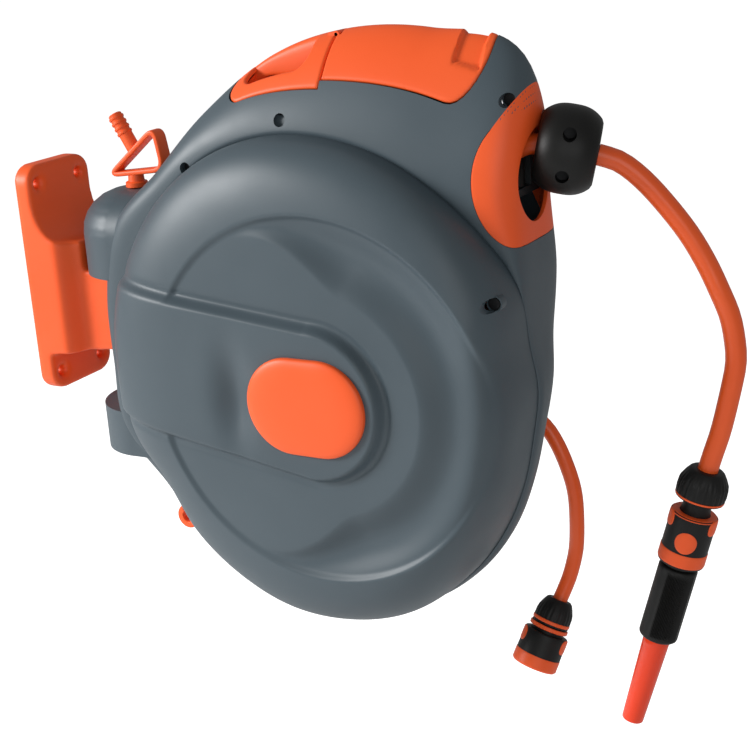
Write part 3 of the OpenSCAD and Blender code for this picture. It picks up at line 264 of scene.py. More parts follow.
# %% [markdown]
# Finishes. Moulded plastic is never one flat colour: the tool's grain scatters light, the pigment
# flows in faint clouds, and handling polishes it unevenly. One node group makes those three things
# from noise, and each material places it with its own scale. The group gives only a colour, a
# roughness and a height; the shader itself stays in the material.

# %% Moulded grain group
def new_group(name, inputs, outputs):
    group = bpy.data.node_groups.new(name, "ShaderNodeTree")
    for kind, label, default in inputs:
        socket = group.interface.new_socket(name=label, in_out="INPUT", socket_type=kind)
        socket.default_value = default
    for kind, label in outputs:
        group.interface.new_socket(name=label, in_out="OUTPUT", socket_type=kind)
    return group, group.nodes.new("NodeGroupInput"), group.nodes.new("NodeGroupOutput")


def link(tree, a, b):
    tree.links.new(a, b)


def math_node(tree, operation, a, b):
    """A sum or product of two values, each a number or another node's output."""
    node = tree.nodes.new("ShaderNodeMath")
    node.operation = operation
    for socket, value in zip(node.inputs, (a, b)):
        if isinstance(value, (int, float)):
            socket.default_value = value
        else:
            link(tree, value, socket)
    return node.outputs[0]


def noise_node(tree, coords, scale, detail):
    node = tree.nodes.new("ShaderNodeTexNoise")
    link(tree, coords, node.inputs["Vector"])
    if isinstance(scale, (int, float)):
        node.inputs["Scale"].default_value = scale
    else:
        link(tree, scale, node.inputs["Scale"])
    node.inputs["Detail"].default_value = detail
    node.inputs["Roughness"].default_value = 0.5
    return node.outputs["Fac"]


grain, grain_in, grain_out = new_group(
    "moulded_grain",
    [("NodeSocketColor", "Colour", (0.5, 0.5, 0.5, 1)),
     ("NodeSocketColor", "Cloud Colour", (0.4, 0.4, 0.4, 1)),
     ("NodeSocketFloat", "Cloud Scale", 9.0), ("NodeSocketFloat", "Grain Scale", 1400.0),
     ("NodeSocketFloat", "Roughness", 0.45), ("NodeSocketFloat", "Polish", 0.12)],
    [("NodeSocketColor", "Colour"), ("NodeSocketFloat", "Roughness"), ("NodeSocketFloat", "Height")])
polish_scale, cloud_low, cloud_high = 38.0, 0.3, 0.7
coords = grain.nodes.new("ShaderNodeTexCoord").outputs["Object"]
cloud = noise_node(grain, coords, grain_in.outputs["Cloud Scale"], 4)
fine = noise_node(grain, coords, grain_in.outputs["Grain Scale"], 2)
polish = noise_node(grain, coords, polish_scale, 3)
mix = grain.nodes.new("ShaderNodeMix")
mix.data_type = "RGBA"
spread = grain.nodes.new("ShaderNodeMapRange")
spread.inputs["From Min"].default_value = cloud_low
spread.inputs["From Max"].default_value = cloud_high
link(grain, cloud, spread.inputs["Value"])
link(grain, spread.outputs["Result"], mix.inputs["Factor"])
link(grain, grain_in.outputs["Colour"], mix.inputs["A"])
link(grain, grain_in.outputs["Cloud Colour"], mix.inputs["B"])
link(grain, mix.outputs["Result"], grain_out.inputs["Colour"])
wander = math_node(grain, "MULTIPLY", math_node(grain, "SUBTRACT", polish, 0.5), grain_in.outputs["Polish"])
link(grain, math_node(grain, "ADD", grain_in.outputs["Roughness"], wander), grain_out.inputs["Roughness"])
link(grain, fine, grain_out.inputs["Height"])
print("group", grain.name, len(grain.nodes), "nodes")

# %% [markdown]
# Each material is the group, a bump for its grain and one Principled shader. Colours are written
# as they look on the object and turned into linear light here. Every finish slot has one material.

# %% Materials
GRAIN_DEEP = 0.0004


def colour(text):
    """Linear light from a colour written as six hexadecimal digits."""
    value = [int(text[i:i + 2], 16) / 255 for i in (0, 2, 4)]
    return tuple(v / 12.92 if v <= 0.04045 else ((v + 0.055) / 1.055) ** 2.4 for v in value) + (1,)


def plastic(name, base, cloud, rough, polish=0.1, grain_scale=1400.0, grain_height=0.12, cloud_scale=9.0,
            coat=0.0, metal=0.0, specular=0.5):
    """A material whose colour, roughness and bump come from the grain group."""
    mat = bpy.data.materials.new(name)
    mat.use_nodes = True
    tree = mat.node_tree
    shader = tree.nodes["Principled BSDF"]
    node = tree.nodes.new("ShaderNodeGroup")
    node.node_tree = grain
    node.inputs["Colour"].default_value = colour(base)
    node.inputs["Cloud Colour"].default_value = colour(cloud)
    node.inputs["Cloud Scale"].default_value = cloud_scale
    node.inputs["Grain Scale"].default_value = grain_scale
    node.inputs["Roughness"].default_value = rough
    node.inputs["Polish"].default_value = polish
    bump = tree.nodes.new("ShaderNodeBump")
    bump.inputs["Strength"].default_value = grain_height
    bump.inputs["Distance"].default_value = GRAIN_DEEP
    link(tree, node.outputs["Colour"], shader.inputs["Base Color"])
    link(tree, node.outputs["Roughness"], shader.inputs["Roughness"])
    link(tree, node.outputs["Height"], bump.inputs["Height"])
    link(tree, bump.outputs["Normal"], shader.inputs["Normal"])
    shader.inputs["Metallic"].default_value = metal
    shader.inputs["Coat Weight"].default_value = coat
    shader.inputs["Specular IOR Level"].default_value = specular
    return mat


finishes = {
    "case_plastic": plastic("case_satin", "49555c", "434f56", 0.45, 0.12, specular=0.42),
    "orange_plastic": plastic("orange_satin", "f4602a", "ef5822", 0.44, cloud_scale=7.0, specular=0.36),
    "gloss_orange": plastic("orange_gloss", "f13e08", "ec3806", 0.16, 0.05, grain_height=0.02, coat=0.15,
                            specular=0.4),
    "black_plastic": plastic("black_moulded", "111110", "161615", 0.46, 0.12, grain_height=0.2,
                             specular=0.26),
    "dark_plastic": plastic("dark_moulded", "33383a", "2b3032", 0.52, 0.12, grain_height=0.2),
    "hose_rubber": plastic("hose_orange", "f45f20", "ec5618", 0.34, grain_scale=900.0, grain_height=0.06),
    "black_rubber": plastic("seal_rubber", "202020", "282828", 0.7, grain_height=0.3),
    "steel": plastic("plain_steel", "b9bdc0", "a4a9ac", 0.34, 0.15, grain_scale=600.0, grain_height=0.08,
                     metal=1.0)}
# The screws are near black: painted shade that stands in for the darkness of their deep pockets.
painted_shade_screw_mat = plastic("black_oxide", "15171a", "0f1012", 0.55, 0.15, grain_scale=600.0, grain_height=0.08,
                    specular=0.3)
print("materials", [m.name for m in bpy.data.materials])

# %% [markdown]
# The case is two moulded halves that meet on the drum's plane. Its side view is a free outline, so
# each radius about the drum axis comes from a short list of shares, one every fifteen degrees, joined
# smoothly. The same lists drive the CAD solids; here they are sampled far finer so that light runs
# over the dome without facets. The near side also has a lowered disc, a hollow valley that opens
# towards the nose, and a raised tongue that runs back from the badge with a shallow scoop in it.

# %% Form of the case
case_r, dome_r, near_depth, far_depth, seam_h, wall = 200.0, 175.0, 80.0, 56.0, 44.0, 3.0
dome_flat_r, dome_round, far_flat_r = 100, 2.6, 60
disc_r, disc_edge, disc_drop = 121, 126, 2.2
valley_in, valley_grow, valley_out, valley_lead, valley_deep = 124, 40, 132, 6, 9
tongue_half, tongue_lift, tongue_fall, tongue_run = 52, 5, 34, 190
tongue_rise, tongue_sink, tongue_soft = 0.11, 0.16, 3
groove_deep, groove_off, groove_wide = 0.9, 4, 2.4
scoop_deep, scoop_back, scoop_long, scoop_tall = 7.0, 57, 13, 29
outline_shares = [0.655, 0.67, 0.75, 0.91, 1.235, 1.195, 1.155, 1.11, 1.045, 1.00, 1.04, 1.01,
                  0.98, 1.00, 0.95, 0.97, 0.95, 0.925, 0.885, 0.855, 0.80, 0.74, 0.685, 0.655]
seam_shares = [0.735, 0.755, 0.835, 0.87, 0.90, 0.93, 0.96, 0.99, 1.01, 1.015, 1.01, 0.995,
               0.98, 0.985, 0.935, 0.975, 1.00, 1.015, 0.995, 0.96, 0.895, 0.825, 0.77, 0.735]
height_shares = [0.15, 0.35, 0.62, 0.88, 1, 1, 1, 1, 1, 1, 1, 1,
                 1, 1, 0.92, 0.80, 0.65, 0.50, 0.40, 0.30, 0.22, 0.17, 0.15, 0.15]
near_round = [1, 1.3, 1.8, 1.7, 0.8, 0.75, 0.75, 0.85, 1.15, 1.75, 2.5, 2.5,
              2.5, 2.5, 2, 1.5, 1.25, 1, 1, 1, 1, 1, 1, 1]
far_round = [1.2, 1.5, 2, 1.7, 0.8, 0.9, 1, 1.05, 1.3, 1.75, 2.25, 2.25,
             2.25, 2.25, 1.8, 1.5, 1.25, 1.1, 1, 1, 1, 1, 1, 1]


def around(shares, t):
    """A smooth closed line through shares that stand at even angles, read at t degrees."""
    a = np.array(shares, float)
    n = len(a)
    u = np.asarray(t, float) % 360 / 360 * n
    i = np.floor(u).astype(int)
    return cubic(*(a[(i + k) % n] for k in (-1, 0, 1, 2)), u - i)


def ramp(a, b, v):
    """A soft step from 0 at a to 1 at b."""
    q = np.clip((v - a) / (b - a), 0, 1)
    return q * q * (3 - 2 * q)


def arch(q, n):
    """A rounded fall from 1 at q = 0 to 0 at q = 1; a larger n gives a squarer shoulder."""
    return (1 - np.clip(q, 0, 1) ** n) ** (1 / n)


def out_r(t):
    """Radius of the case's outline."""
    return case_r * around(outline_shares, t)


def seam_r(t):
    """Radius of the near dome's seam."""
    return dome_r * around(seam_shares, t)


def seam_rise(t):
    """Height of the near half at the seam."""
    return seam_h * around(height_shares, t)


def side_rise(t, q):
    """Height of the near half at share q of the way from seam to rim."""
    return seam_rise(t) * arch(q, 2 * around(near_round, t))


def near_rise(t, r):
    """Height of the near half over the parting plane, with its disc, valley and tongue."""
    rs, R, hs = seam_r(t), out_r(t), seam_rise(t)
    dome = hs + (near_depth - hs) * arch(1 - np.clip((rs - r) / (rs - dome_flat_r), 0, 1), dome_round)
    plain_side = np.where(r >= rs, side_rise(t, (r - rs) / (R - rs)), dome)
    open_share = ramp(-0.45, 0.35, np.cos(np.radians(t)))
    inner = valley_in - valley_grow * open_share
    valley = np.sin(math.pi * np.clip((r - inner + valley_lead) / (valley_out - inner), 0, 1)) ** 1.5
    base = plain_side - valley_deep * open_share * valley - disc_drop * (1 - ramp(disc_r, disc_edge, r))
    u, w = r * np.cos(np.radians(t)), r * np.sin(np.radians(t))
    back = np.maximum(0, -u)
    upper, lower = tongue_half + tongue_rise * back - w, tongue_half - tongue_sink * back + w
    reach = np.where(u > 0, tongue_half - np.hypot(u, w), np.where(w > 0, upper, lower))
    crest = near_depth - tongue_fall * (back / tongue_run) ** 1.5
    on_tongue = ramp(-tongue_soft, tongue_soft, reach)
    tongue = tongue_lift + np.maximum(crest, plain_side)
    groove = groove_deep * np.exp(-((reach + groove_off) / groove_wide) ** 2)
    scoop = scoop_deep * np.exp(-((u + scoop_back) / scoop_long) ** 2 - (w / scoop_tall) ** 2)
    return base * (1 - on_tongue) + on_tongue * tongue - groove - scoop


def far_rise(t, r):
    """Height of the far half behind the parting plane."""
    return far_depth * arch((r - far_flat_r) / (out_r(t) - far_flat_r), 2 * around(far_round, t))


def near_roll(t, phi):
    """Radius and height on the near half's rolled edge, where phi falls to zero at the rim."""
    rs, n = seam_r(t), 2 * around(near_round, t)
    return rs + np.cos(phi) ** (2 / n) * (out_r(t) - rs), seam_rise(t) * np.sin(phi) ** (2 / n)


def far_roll(t, phi):
    """The same on the far half."""
    n = 2 * around(far_round, t)
    return far_flat_r + np.cos(phi) ** (2 / n) * (out_r(t) - far_flat_r), far_depth * np.sin(phi) ** (2 / n)


def skin_point(t, r, y):
    """A point at an angle and a radius about the drum axis."""
    x, z = axis_x + r * np.cos(np.radians(t)), axis_z + r * np.sin(np.radians(t))
    return np.stack([x, np.broadcast_to(y, np.shape(r)), z], -1)


print("case from", round(float(axis_x - out_r(180)), 1), "to", round(float(axis_x + out_r(60) * 0.5), 1))

# %% [markdown]
# Each half is a polar grid: rings about the drum axis crossed by spokes. The rings crowd together at
# the dome's seam, where a fine groove separates the dome from the flat shoulder, and at the rolled
# edge. An inner skin three millimetres inside closes the half, so it has the wall of a real moulding.

# %% Case halves
dome_rings, roll_rings, far_flats, far_rings = 150, 26, 5, 44
seam_deep, roll_start = 1.1, 0.12


def half_mesh(name, side, steps):
    """One half as a closed mesh: its outer skin, then its inner skin on every sixth ring."""
    t = np.arange(steps) * 360.0 / steps
    R, rs = out_r(t), seam_r(t)
    rows = []
    if side < 0:
        for k in range(dome_rings, 0, -1):
            r = rs * (1 - (k / (dome_rings + 2)) ** 1.4)
            rows.append((r, near_rise(t, r) - seam_deep * np.exp(-(rs - r) ** 2)))
        rows.append((rs, side_rise(t, 0 * t) - seam_deep))
        for q in (0.012, 0.03, 0.055, 0.085):
            r = rs + q * (R - rs)
            rows.append((r, side_rise(t, q) - seam_deep * np.exp(-(rs - r) ** 2)))
        first = np.arccos(roll_start ** around(near_round, t))
        rows += [near_roll(t, first * (1 - k / roll_rings)) for k in range(roll_rings)]
    else:
        for k in range(1, far_flats + 1):
            rows.append((np.full(steps, far_flat_r / far_flats * k), np.full(steps, far_depth)))
        rows += [far_roll(t, math.pi / 2 * (1 - k / far_rings)) for k in range(1, far_rings)]
    rows.append((R, 0 * R))
    outer = [skin_point(t, r, side * h) for r, h in rows]
    inner = [skin_point(t, r * (R - wall) / R, side * np.maximum(h - wall, 0)) for r, h in rows[::-6]]
    inner[0] = skin_point(t, R - wall, 0 * R)
    grid = np.array(outer + inner)
    crown = rows[0][1].mean()
    poles = [[axis_x, side * crown, axis_z], [axis_x, side * (crown - wall), axis_z]]
    count, pole, last = len(grid), len(grid) * steps, (len(grid) - 1) * steps
    i = np.arange(steps)
    j = (i + 1) % steps
    faces = grid_faces(count, steps)
    faces += [(pole, b, a) for a, b in zip(i, j)]
    faces += [(pole + 1, last + a, last + b) for a, b in zip(i, j)]
    return mesh_object(name, np.concatenate([grid.reshape(-1, 3), poles]) * MM, faces)


near_case = half_mesh("near_case_half", -1, 480)
far_case = half_mesh("far_case_half", 1, 240)
print("near", len(near_case.data.polygons), "far", len(far_case.data.polygons), "faces")

# %% [markdown]
# The halves are opened for the pieces that sit in them: the lid and the handle along the top, the
# orange trim at the nose, the swivel lugs at the back, and deep round pockets for the case screws.
# Each opening is a plain prism or turned tool that a Boolean modifier takes away. Before that a boss is
# joined on behind the wall at each screw, so that its pocket has a floor.

# %% Openings in the case
ALONG_X, ALONG_Y, ALONG_Z = 0, 1, 2


def prism(name, ring, low, high, axis):
    """A closed prism along one axis, over a ring of points in the other two."""
    points = [[*p[:axis], h, *p[axis:]] for h in (low, high) for p in ring]
    return mesh_object(name, np.array(points, float) * MM, capped_faces(2, len(ring)))


def turned_mesh(name, profile, place, steps):
    """A solid of revolution from (height, radius) pairs that start and end on the axis."""
    a = np.arange(steps) * 2 * math.pi / steps
    rings = [np.stack([r * np.cos(a), r * np.sin(a), np.full(steps, h)], -1) for h, r in profile[1:-1]]
    points = np.concatenate([np.concatenate(rings), [[0, 0, profile[0][0]], [0, 0, profile[-1][0]]]])
    pole, last = len(rings) * steps, (len(rings) - 1) * steps
    faces = grid_faces(len(rings), steps)
    faces += [(pole, (i + 1) % steps, i) for i in range(steps)]
    faces += [(pole + 1, last + i, last + (i + 1) % steps) for i in range(steps)]
    obj = mesh_object(name, points * MM, faces)
    obj.data.transform(place)
    return obj


def rod(length, radius):
    """The profile of a plain rod."""
    return [(0, 0), (0, radius), (length, radius), (length, 0)]


def upright(x, y, z):
    return Matrix.Translation(Vector((x, y, z)) * MM)


def along_y(x, y, z):
    return upright(x, y, z) @ Matrix.Rotation(math.radians(-90), 4, "X")


def arc(cx, cy, r, a0, a1, steps=10):
    turns = np.linspace(a0, a1, steps)
    return [(cx + r * math.cos(math.radians(a)), cy + r * math.sin(math.radians(a))) for a in turns]


def ellipse(cx, cy, wide, tall, count):
    turns = np.arange(count) * math.pi / (count / 2)
    return [(cx + wide * math.cos(a), cy + tall * math.sin(a)) for a in turns]


def polar(t, r):
    """X and Z of a place at an angle and a radius about the drum axis."""
    return axis_x + r * math.cos(math.radians(t)), axis_z + r * math.sin(math.radians(t))


hinge_turn, hinge_sunk = 91, 2.5
hinge_x, hinge_z = polar(hinge_turn, float(out_r(hinge_turn)) - hinge_sunk)
lid_front, lid_half, lid_corner = 377.0, 31.0, 24
handle_back, handle_half, handle_corner = 192.0, 34.0, 12
trim_x, trim_z, trim_l, trim_h = 404.0, 88.0, 30.0, 42.0
pin_x, lug_r, lug_top = 86, 42.3, 38
boss_r, boss_l, pocket_r, pocket_deep, clear_y = 5.2, 7, 4.3, 7.5, 95
screw_spots = ((126.5, 24), (99.5, 45), (57.4, 15), (30, 9))


def top_ring(gap):
    """The outline of lid and handle seen from above, grown by a gap."""
    lid, handle, r, s = lid_half + gap, handle_half + gap, lid_corner + gap, handle_corner + gap
    front, back = lid_front + gap, handle_back - gap
    ring = [(hinge_x, -lid)] + arc(front - r, -lid + r, r, -90, 0) + arc(front - r, lid - r, r, 0, 90)
    ring += [(hinge_x, lid), (hinge_x, handle)] + arc(back + s, handle - s, s, 90, 180)
    return ring + arc(back + s, -handle + s, s, 180, 270) + [(hinge_x, -handle)]


lug_profile = [(-126.3, 0), (-126.3, lug_r), (-91.7, lug_r), (-91.7, 36), (7.7, 36), (7.7, lug_r)]
lug_profile += [(lug_top, lug_r)]
lug_profile += [(lug_top + 30.3 * math.sin(a), 10.3 + 32 * math.cos(a))
                for a in np.linspace(0.1, math.pi / 2, 12)]
lug_profile += [(68.3, 0)]
cuts = [prism("cut_top", top_ring(0.5), 112, 240, ALONG_Z),
        prism("cut_nose", ellipse(trim_x, trim_z, trim_l + 0.4, trim_h + 0.4, 96), -100, 80, ALONG_Y),
        turned_mesh("cut_lugs", lug_profile, upright(pin_x, 0, 0), 96)]
screw_cuts, bosses = [], []
for t, inset in screw_spots:
    r = float(out_r(t)) - inset
    h = float(near_rise(np.array([t]), np.array([r]))[0])
    x, z = polar(t, r)
    bosses.append(turned_mesh("screw_boss", rod(boss_l, boss_r), along_y(x, boss_r - h, z), 32))
    pocket = rod(clear_y - h + pocket_deep, pocket_r)
    screw_cuts.append(turned_mesh("cut_screw", pocket, along_y(x, -clear_y, z), 32))
carve(near_case, *bosses, operation="UNION")
carve(near_case, *cuts, *screw_cuts)
carve(far_case, *cuts)
drop(*cuts, *screw_cuts, *bosses)
finish_piece(near_case, "case", "case_plastic", "near_shell", 50)
finish_piece(far_case, "case", "case_plastic", "far_shell", 50)
print("opened near", len(near_case.data.polygons), "far", len(far_case.data.polygons))

# %% [markdown]
# The lid and the carrying handle are patches of the case's own skin in orange. Seen from above each
# is a simple rounded outline, so its mesh is a set of rings that follow the outline inwards. Every
# point is then lifted onto the skin, and the outermost rings sink along a quarter circle, which
# gives the soft edge of a moulded cap. A grip bar bridges the handle's opening, and small knuckles
# of lid and handle take turns along the hinge pin.

# %% Patches of the skin
def skin_z(x, y):
    """Height of the case's skin over a point seen from above, found by halving."""
    low, high = np.full(np.shape(x), 40.0), np.full(np.shape(x), 215.0)
    for _ in range(44):
        z = (low + high) / 2
        t, r = np.degrees(np.arctan2(z - axis_z, x - axis_x)), np.hypot(z - axis_z, x - axis_x)
        R, rs = out_r(t), seam_r(t)
        rise = np.where(y < 0, side_rise(t, (r - rs) / (R - rs)), far_rise(t, r))
        rise = np.where(r > R, R - r, rise)
        inside = rise > np.abs(y)
        low, high = np.where(inside, z, low), np.where(inside, high, z)
    return (low + high) / 2


def on_skin(xy, depth):
    """Points on the skin, sunk by a depth along its normal."""
    x, y = xy[..., 0], xy[..., 1]
    e = 0.15
    z = skin_z(x, y)
    slope_x = (skin_z(x + e, y) - skin_z(x - e, y)) / (2 * e)
    slope_y = (skin_z(x, y + e) - skin_z(x, y - e)) / (2 * e)
    normal = np.stack([-slope_x, -slope_y, np.ones_like(z)], -1)
    normal /= np.linalg.norm(normal, axis=-1, keepdims=True)
    return np.stack([x, y, z], -1) - normal * np.asarray(depth)[..., None]


def even_ring(corners, count):
    """Evenly spaced points round a closed outline."""
    pts = np.array(corners + corners[:1], float)
    run = np.concatenate([[0], np.cumsum(np.hypot(*np.diff(pts, axis=0).T))])
    s = np.linspace(0, run[-1], count, endpoint=False)
    return np.stack([np.interp(s, run, pts[:, 0]), np.interp(s, run, pts[:, 1])], -1)


def inward(ring):
    """Unit ways towards the inside of a ring that runs anticlockwise."""
    d = np.roll(ring, -1, 0) - np.roll(ring, 1, 0)
    n = np.stack([-d[:, 1], d[:, 0]], -1)
    return n / np.linalg.norm(n, axis=1, keepdims=True)


def patch(name, ring, target, hole, edge, rings, sink=None):
    """A cap of the skin between an outline and a hole, or a middle line, with rounded edges."""
    quarter = np.linspace(0, math.pi / 2, 6)
    bend = [(edge * (1 - math.cos(a)), edge * (1 - math.sin(a))) for a in quarter]
    rows = [ring + inward(ring) * d for d, _ in bend]
    depths = [h for _, h in bend]
    start = rows[-1]
    end = target - inward(target) * edge if hole else target
    rows += [start + (end - start) * k / rings for k in range(1, rings + 1)]
    depths += [0] * rings
    if hole:
        rows += [target - inward(target) * d for d, _ in bend[-2::-1]]
        depths += [h for _, h in bend[-2::-1]]
    grid, depth = np.array(rows), np.array(depths)[:, None] * np.ones(len(ring))
    keep = [0] + list(range(6, len(rows) - 1, 4)) + [len(rows) - 1]
    under_depth = np.full((len(keep), len(ring)), wall)
    if sink is not None:
        dip = sink(grid[..., 0], grid[..., 1])
        depth = depth + dip
        under_depth = under_depth + 0.5 * dip[keep]
    loop = np.concatenate([on_skin(grid, depth), on_skin(grid[keep], under_depth)[::-1]])
    m, n = loop.shape[:2]
    faces = grid_faces(m, n, True)
    if not hole:
        middle = (len(rows) - 1) * n
        del faces[middle:middle + n]
    obj = mesh_object(name, loop.reshape(-1, 3) * MM, faces)
    face_outwards(obj.data, JOIN)
    return obj


recess_back, recess_front, recess_half, recess_deep = 354, 372, 19, 2.6


def lid_recess(x, y):
    """A shallow finger recess near the lid's front edge."""
    way = np.minimum(np.minimum(x - recess_back, recess_front - x), recess_half - np.abs(y))
    return recess_deep * ramp(-0.4, 1.0, way)


hinge_gap, lid_edge, handle_edge = 0.6, 1.4, 1.6
lid_back, handle_front = hinge_x + hinge_gap, hinge_x - hinge_gap
lid_arc = lid_front - lid_corner
lid_ring = even_ring([(lid_back, -lid_half)] + arc(lid_arc, -lid_half + lid_corner, lid_corner, -90, 0)
                     + arc(lid_arc, lid_half - lid_corner, lid_corner, 0, 90) + [(lid_back, lid_half)], 220)
lid_line = np.stack([np.clip(lid_ring[:, 0], lid_back + 20, lid_arc), 0 * lid_ring[:, 1]], -1)
lid_cap = patch("lid_cap", lid_ring, lid_line, False, lid_edge, 24, lid_recess)
finish_piece(lid_cap, "lid", "orange_plastic", "lid", 50)

grip_x, grip_front, grip_back, grip_half, grip_corner = 226, 242, 210, 17, 9
spokes = np.radians(np.arange(240) * 1.5 + 0.75)


def spoke_ring(corners):
    """Where spokes from the middle of the grip meet an outline."""
    pts = even_ring(corners, 4000)
    a = np.arctan2(pts[:, 1], pts[:, 0] - grip_x) % (2 * math.pi)
    r = np.hypot(pts[:, 0] - grip_x, pts[:, 1])
    order = np.argsort(a)
    reach = np.interp(spokes, a[order], r[order], period=2 * math.pi)
    return np.stack([grip_x + reach * np.cos(spokes), reach * np.sin(spokes)], -1)


handle_arc, handle_side = handle_back + handle_corner, handle_half - handle_corner
handle_ring = spoke_ring([(handle_front, -handle_half), (handle_front, handle_half)]
                         + arc(handle_arc, handle_side, handle_corner, 90, 180)
                         + arc(handle_arc, -handle_side, handle_corner, 180, 270))
grip_ring = spoke_ring(arc(grip_front, -grip_half, grip_corner, -90, 0)
                       + arc(grip_front, grip_half, grip_corner, 0, 90)
                       + arc(grip_back, grip_half, grip_corner, 90, 180)
                       + arc(grip_back, -grip_half, grip_corner, 180, 270))
handle_cap = patch("handle_cap", handle_ring, grip_ring, True, handle_edge, 12)
finish_piece(handle_cap, "case", "orange_plastic", "carry_handle", 50)

bar_half, bar_back, bar_front, bar_rows, bar_sides = 6, 199.6, 252.4, 40, 32
bend = np.arange(bar_sides) * math.pi / (bar_sides / 2)
bar_y = bar_half * squared(np.cos(bend), 0.5)
bar_share = 0.5 - 0.5 * squared(np.sin(bend), 0.5)
rows = []
for x in np.linspace(bar_back, bar_front, bar_rows):
    tall = 12 + 10 * ramp(206, 238, x)
    along = np.full(bar_sides, x)
    rows.append(np.stack([along, bar_y, skin_z(along, bar_y) - tall * bar_share], -1))
grip_bar = mesh_object("grip_bar", np.concatenate(rows) * MM, capped_faces(bar_rows, bar_sides))
finish_piece(grip_bar, "case", "orange_plastic", angle=50)

notch_x, notch_y, web_l, web_t = 4, 7.3, 5.6, 1.4
knuckle_r, knuckle_rim, knuckle_edge = 2.5, 2.2, 0.3
notch_ring = [(hinge_x - notch_x, -notch_y), (hinge_x + notch_x, -notch_y),
              (hinge_x + notch_x, notch_y), (hinge_x - notch_x, notch_y)]
notch = prism("cut_hinge", notch_ring, 160, 190, ALONG_Z)
carve(lid_cap, notch)
carve(handle_cap, notch)
drop(notch)
for name, body, way, spans in (("lid_knuckle", "lid", 1, [(-3.4, 3.4)]),
                               ("handle_knuckle", "case", -1, [(-7, -3.8), (3.8, 7)])):
    for k, (y0, y1) in enumerate(spans):
        wide = y1 - y0
        profile = [(0, 0), (0, knuckle_rim), (knuckle_edge, knuckle_r), (wide - knuckle_edge, knuckle_r),
                   (wide, knuckle_rim), (wide, 0)]
        knuckle = turned_mesh(f"{name}_{k + 1}", profile, along_y(hinge_x, y0, hinge_z), 28)
        web_end = hinge_x + way * web_l
        web_ring = [(hinge_x, hinge_z - web_t), (web_end, hinge_z - web_t), (web_end, hinge_z + web_t),
                    (hinge_x, hinge_z + web_t)]
        web = prism("hinge_web", web_ring, y0, y1, ALONG_Y)
        carve(knuckle, web, operation="UNION")
        drop(web)
        finish_piece(knuckle, body, "orange_plastic", angle=40)
print("lid", len(lid_cap.data.polygons), "handle", len(handle_cap.data.polygons))

# %% [markdown]
# At the nose an orange trim wraps round the outlet. From the side its edge is an ellipse, so every
# spoke from the drum axis enters it at one radius and leaves at the case's rim. Near and far sides
# join over the rim into one sheet, which is then given its wall and cut through for the mouth.

# %% Outlet trim
mouth_half_w, mouth_half_h, trim_rows = 24.5, 30, 24
stop_r, stop_fall = 28, 7.5


def trim_entry(t):
    """Radius at which a spoke enters the trim's ellipse."""
    c, s = np.cos(np.radians(t)), np.sin(np.radians(t))
    px, pz = axis_x - trim_x, axis_z - trim_z
    a = (c / trim_l) ** 2 + (s / trim_h) ** 2
    b = px * c / trim_l ** 2 + pz * s / trim_h ** 2
    k = (px / trim_l) ** 2 + (pz / trim_h) ** 2 - 1
    root = b * b - a * k
    return np.where(root > 0, (-b - np.sqrt(np.maximum(root, 0))) / a, 1e6)


scan = np.arange(20, 80, 0.01)
within = scan[trim_entry(scan) < out_r(scan) - 0.2]
first, last = within[0], within[-1]
trim_t = (first + last) / 2 - (last - first) / 2 * np.cos(np.linspace(0, math.pi, 90))
rim_r, trim_seam, entry = out_r(trim_t), seam_r(trim_t), trim_entry(trim_t)
near_share = np.clip((entry - trim_seam) / (rim_r - trim_seam), 0, 1)
far_share = np.clip((entry - far_flat_r) / (rim_r - far_flat_r), 0, 1)
near_phi = np.arccos(near_share ** around(near_round, trim_t))
far_phi = np.arccos(far_share ** around(far_round, trim_t))


def trim_sheet(inset):
    """The trim's skin from its near edge over the rim to its far edge, moved in by an inset."""
    half = [(-1, near_roll(trim_t, near_phi * (1 - k / trim_rows))) for k in range(trim_rows)]
    half += [(1, far_roll(trim_t, far_phi * k / trim_rows)) for k in range(trim_rows + 1)]
    rows = []
    for way, (r, h) in half:
        rows.append(skin_point(trim_t, r * (rim_r - inset) / rim_r, way * np.maximum(h - inset, 0)))
    return np.array(rows)


sheets = np.concatenate([trim_sheet(0), trim_sheet(wall)[::-1]])
m, n = sheets.shape[:2]
faces = [(k * n + i, k * n + i + 1, (k + 1) % m * n + i + 1, (k + 1) % m * n + i)
         for k in range(m) for i in range(n - 1)]
faces += [(k * n + i, (k + 1) * n + i, (m - 2 - k) * n + i, (m - 1 - k) * n + i)
          for i in (0, n - 1) for k in range(m // 2 - 1)]
trim = mesh_object("outlet_wrap", sheets.reshape(-1, 3) * MM, faces)
mouth = prism("cut_mouth", ellipse(0, trim_z, mouth_half_w, mouth_half_h, 72), 340, 460, ALONG_X)


def stop_profile(grow):
    """The hose stop's barrel shape, grown all round."""
    span = np.linspace(-1, 1, 33)
    body = [(stop_half * (1 + q) + grow * q, stop_r - stop_fall * abs(q) ** 2.8 + grow) for q in span]
    return [(body[0][0], 0)] + body + [(body[-1][0], 0)]


def along_way(at, way):
    """Turns the Z axis to a way at a place, tilting first and then turning about the upright."""
    w = way.normalized()
    turned = Matrix.Translation(at * MM) @ Matrix.Rotation(math.atan2(w.y, w.x), 4, "Z")
    return turned @ Matrix.Rotation(math.acos(w.z), 4, "Y")


stop_place = along_way(stop_in, stop_way)
stop_room = turned_mesh("cut_stop", stop_profile(0.4), stop_place, 72)
carve(trim, mouth, stop_room)
drop(mouth, stop_room)
soften(trim, 0.6, 2, 65, 0.3)
finish_piece(trim, "case", "orange_plastic", "outlet_trim", 45)
print("trim from", round(float(first), 1), "to", round(float(last), 1), "degrees")

# %% [markdown]
# The wound hose. Inside the case the hose lies on its drum, a last layer of four turns shows through
# the outlet, and one length leads from the drum between two rollers to the stop. The turns are one
# smooth helix, the hidden layers below them are a ring with a scalloped face.

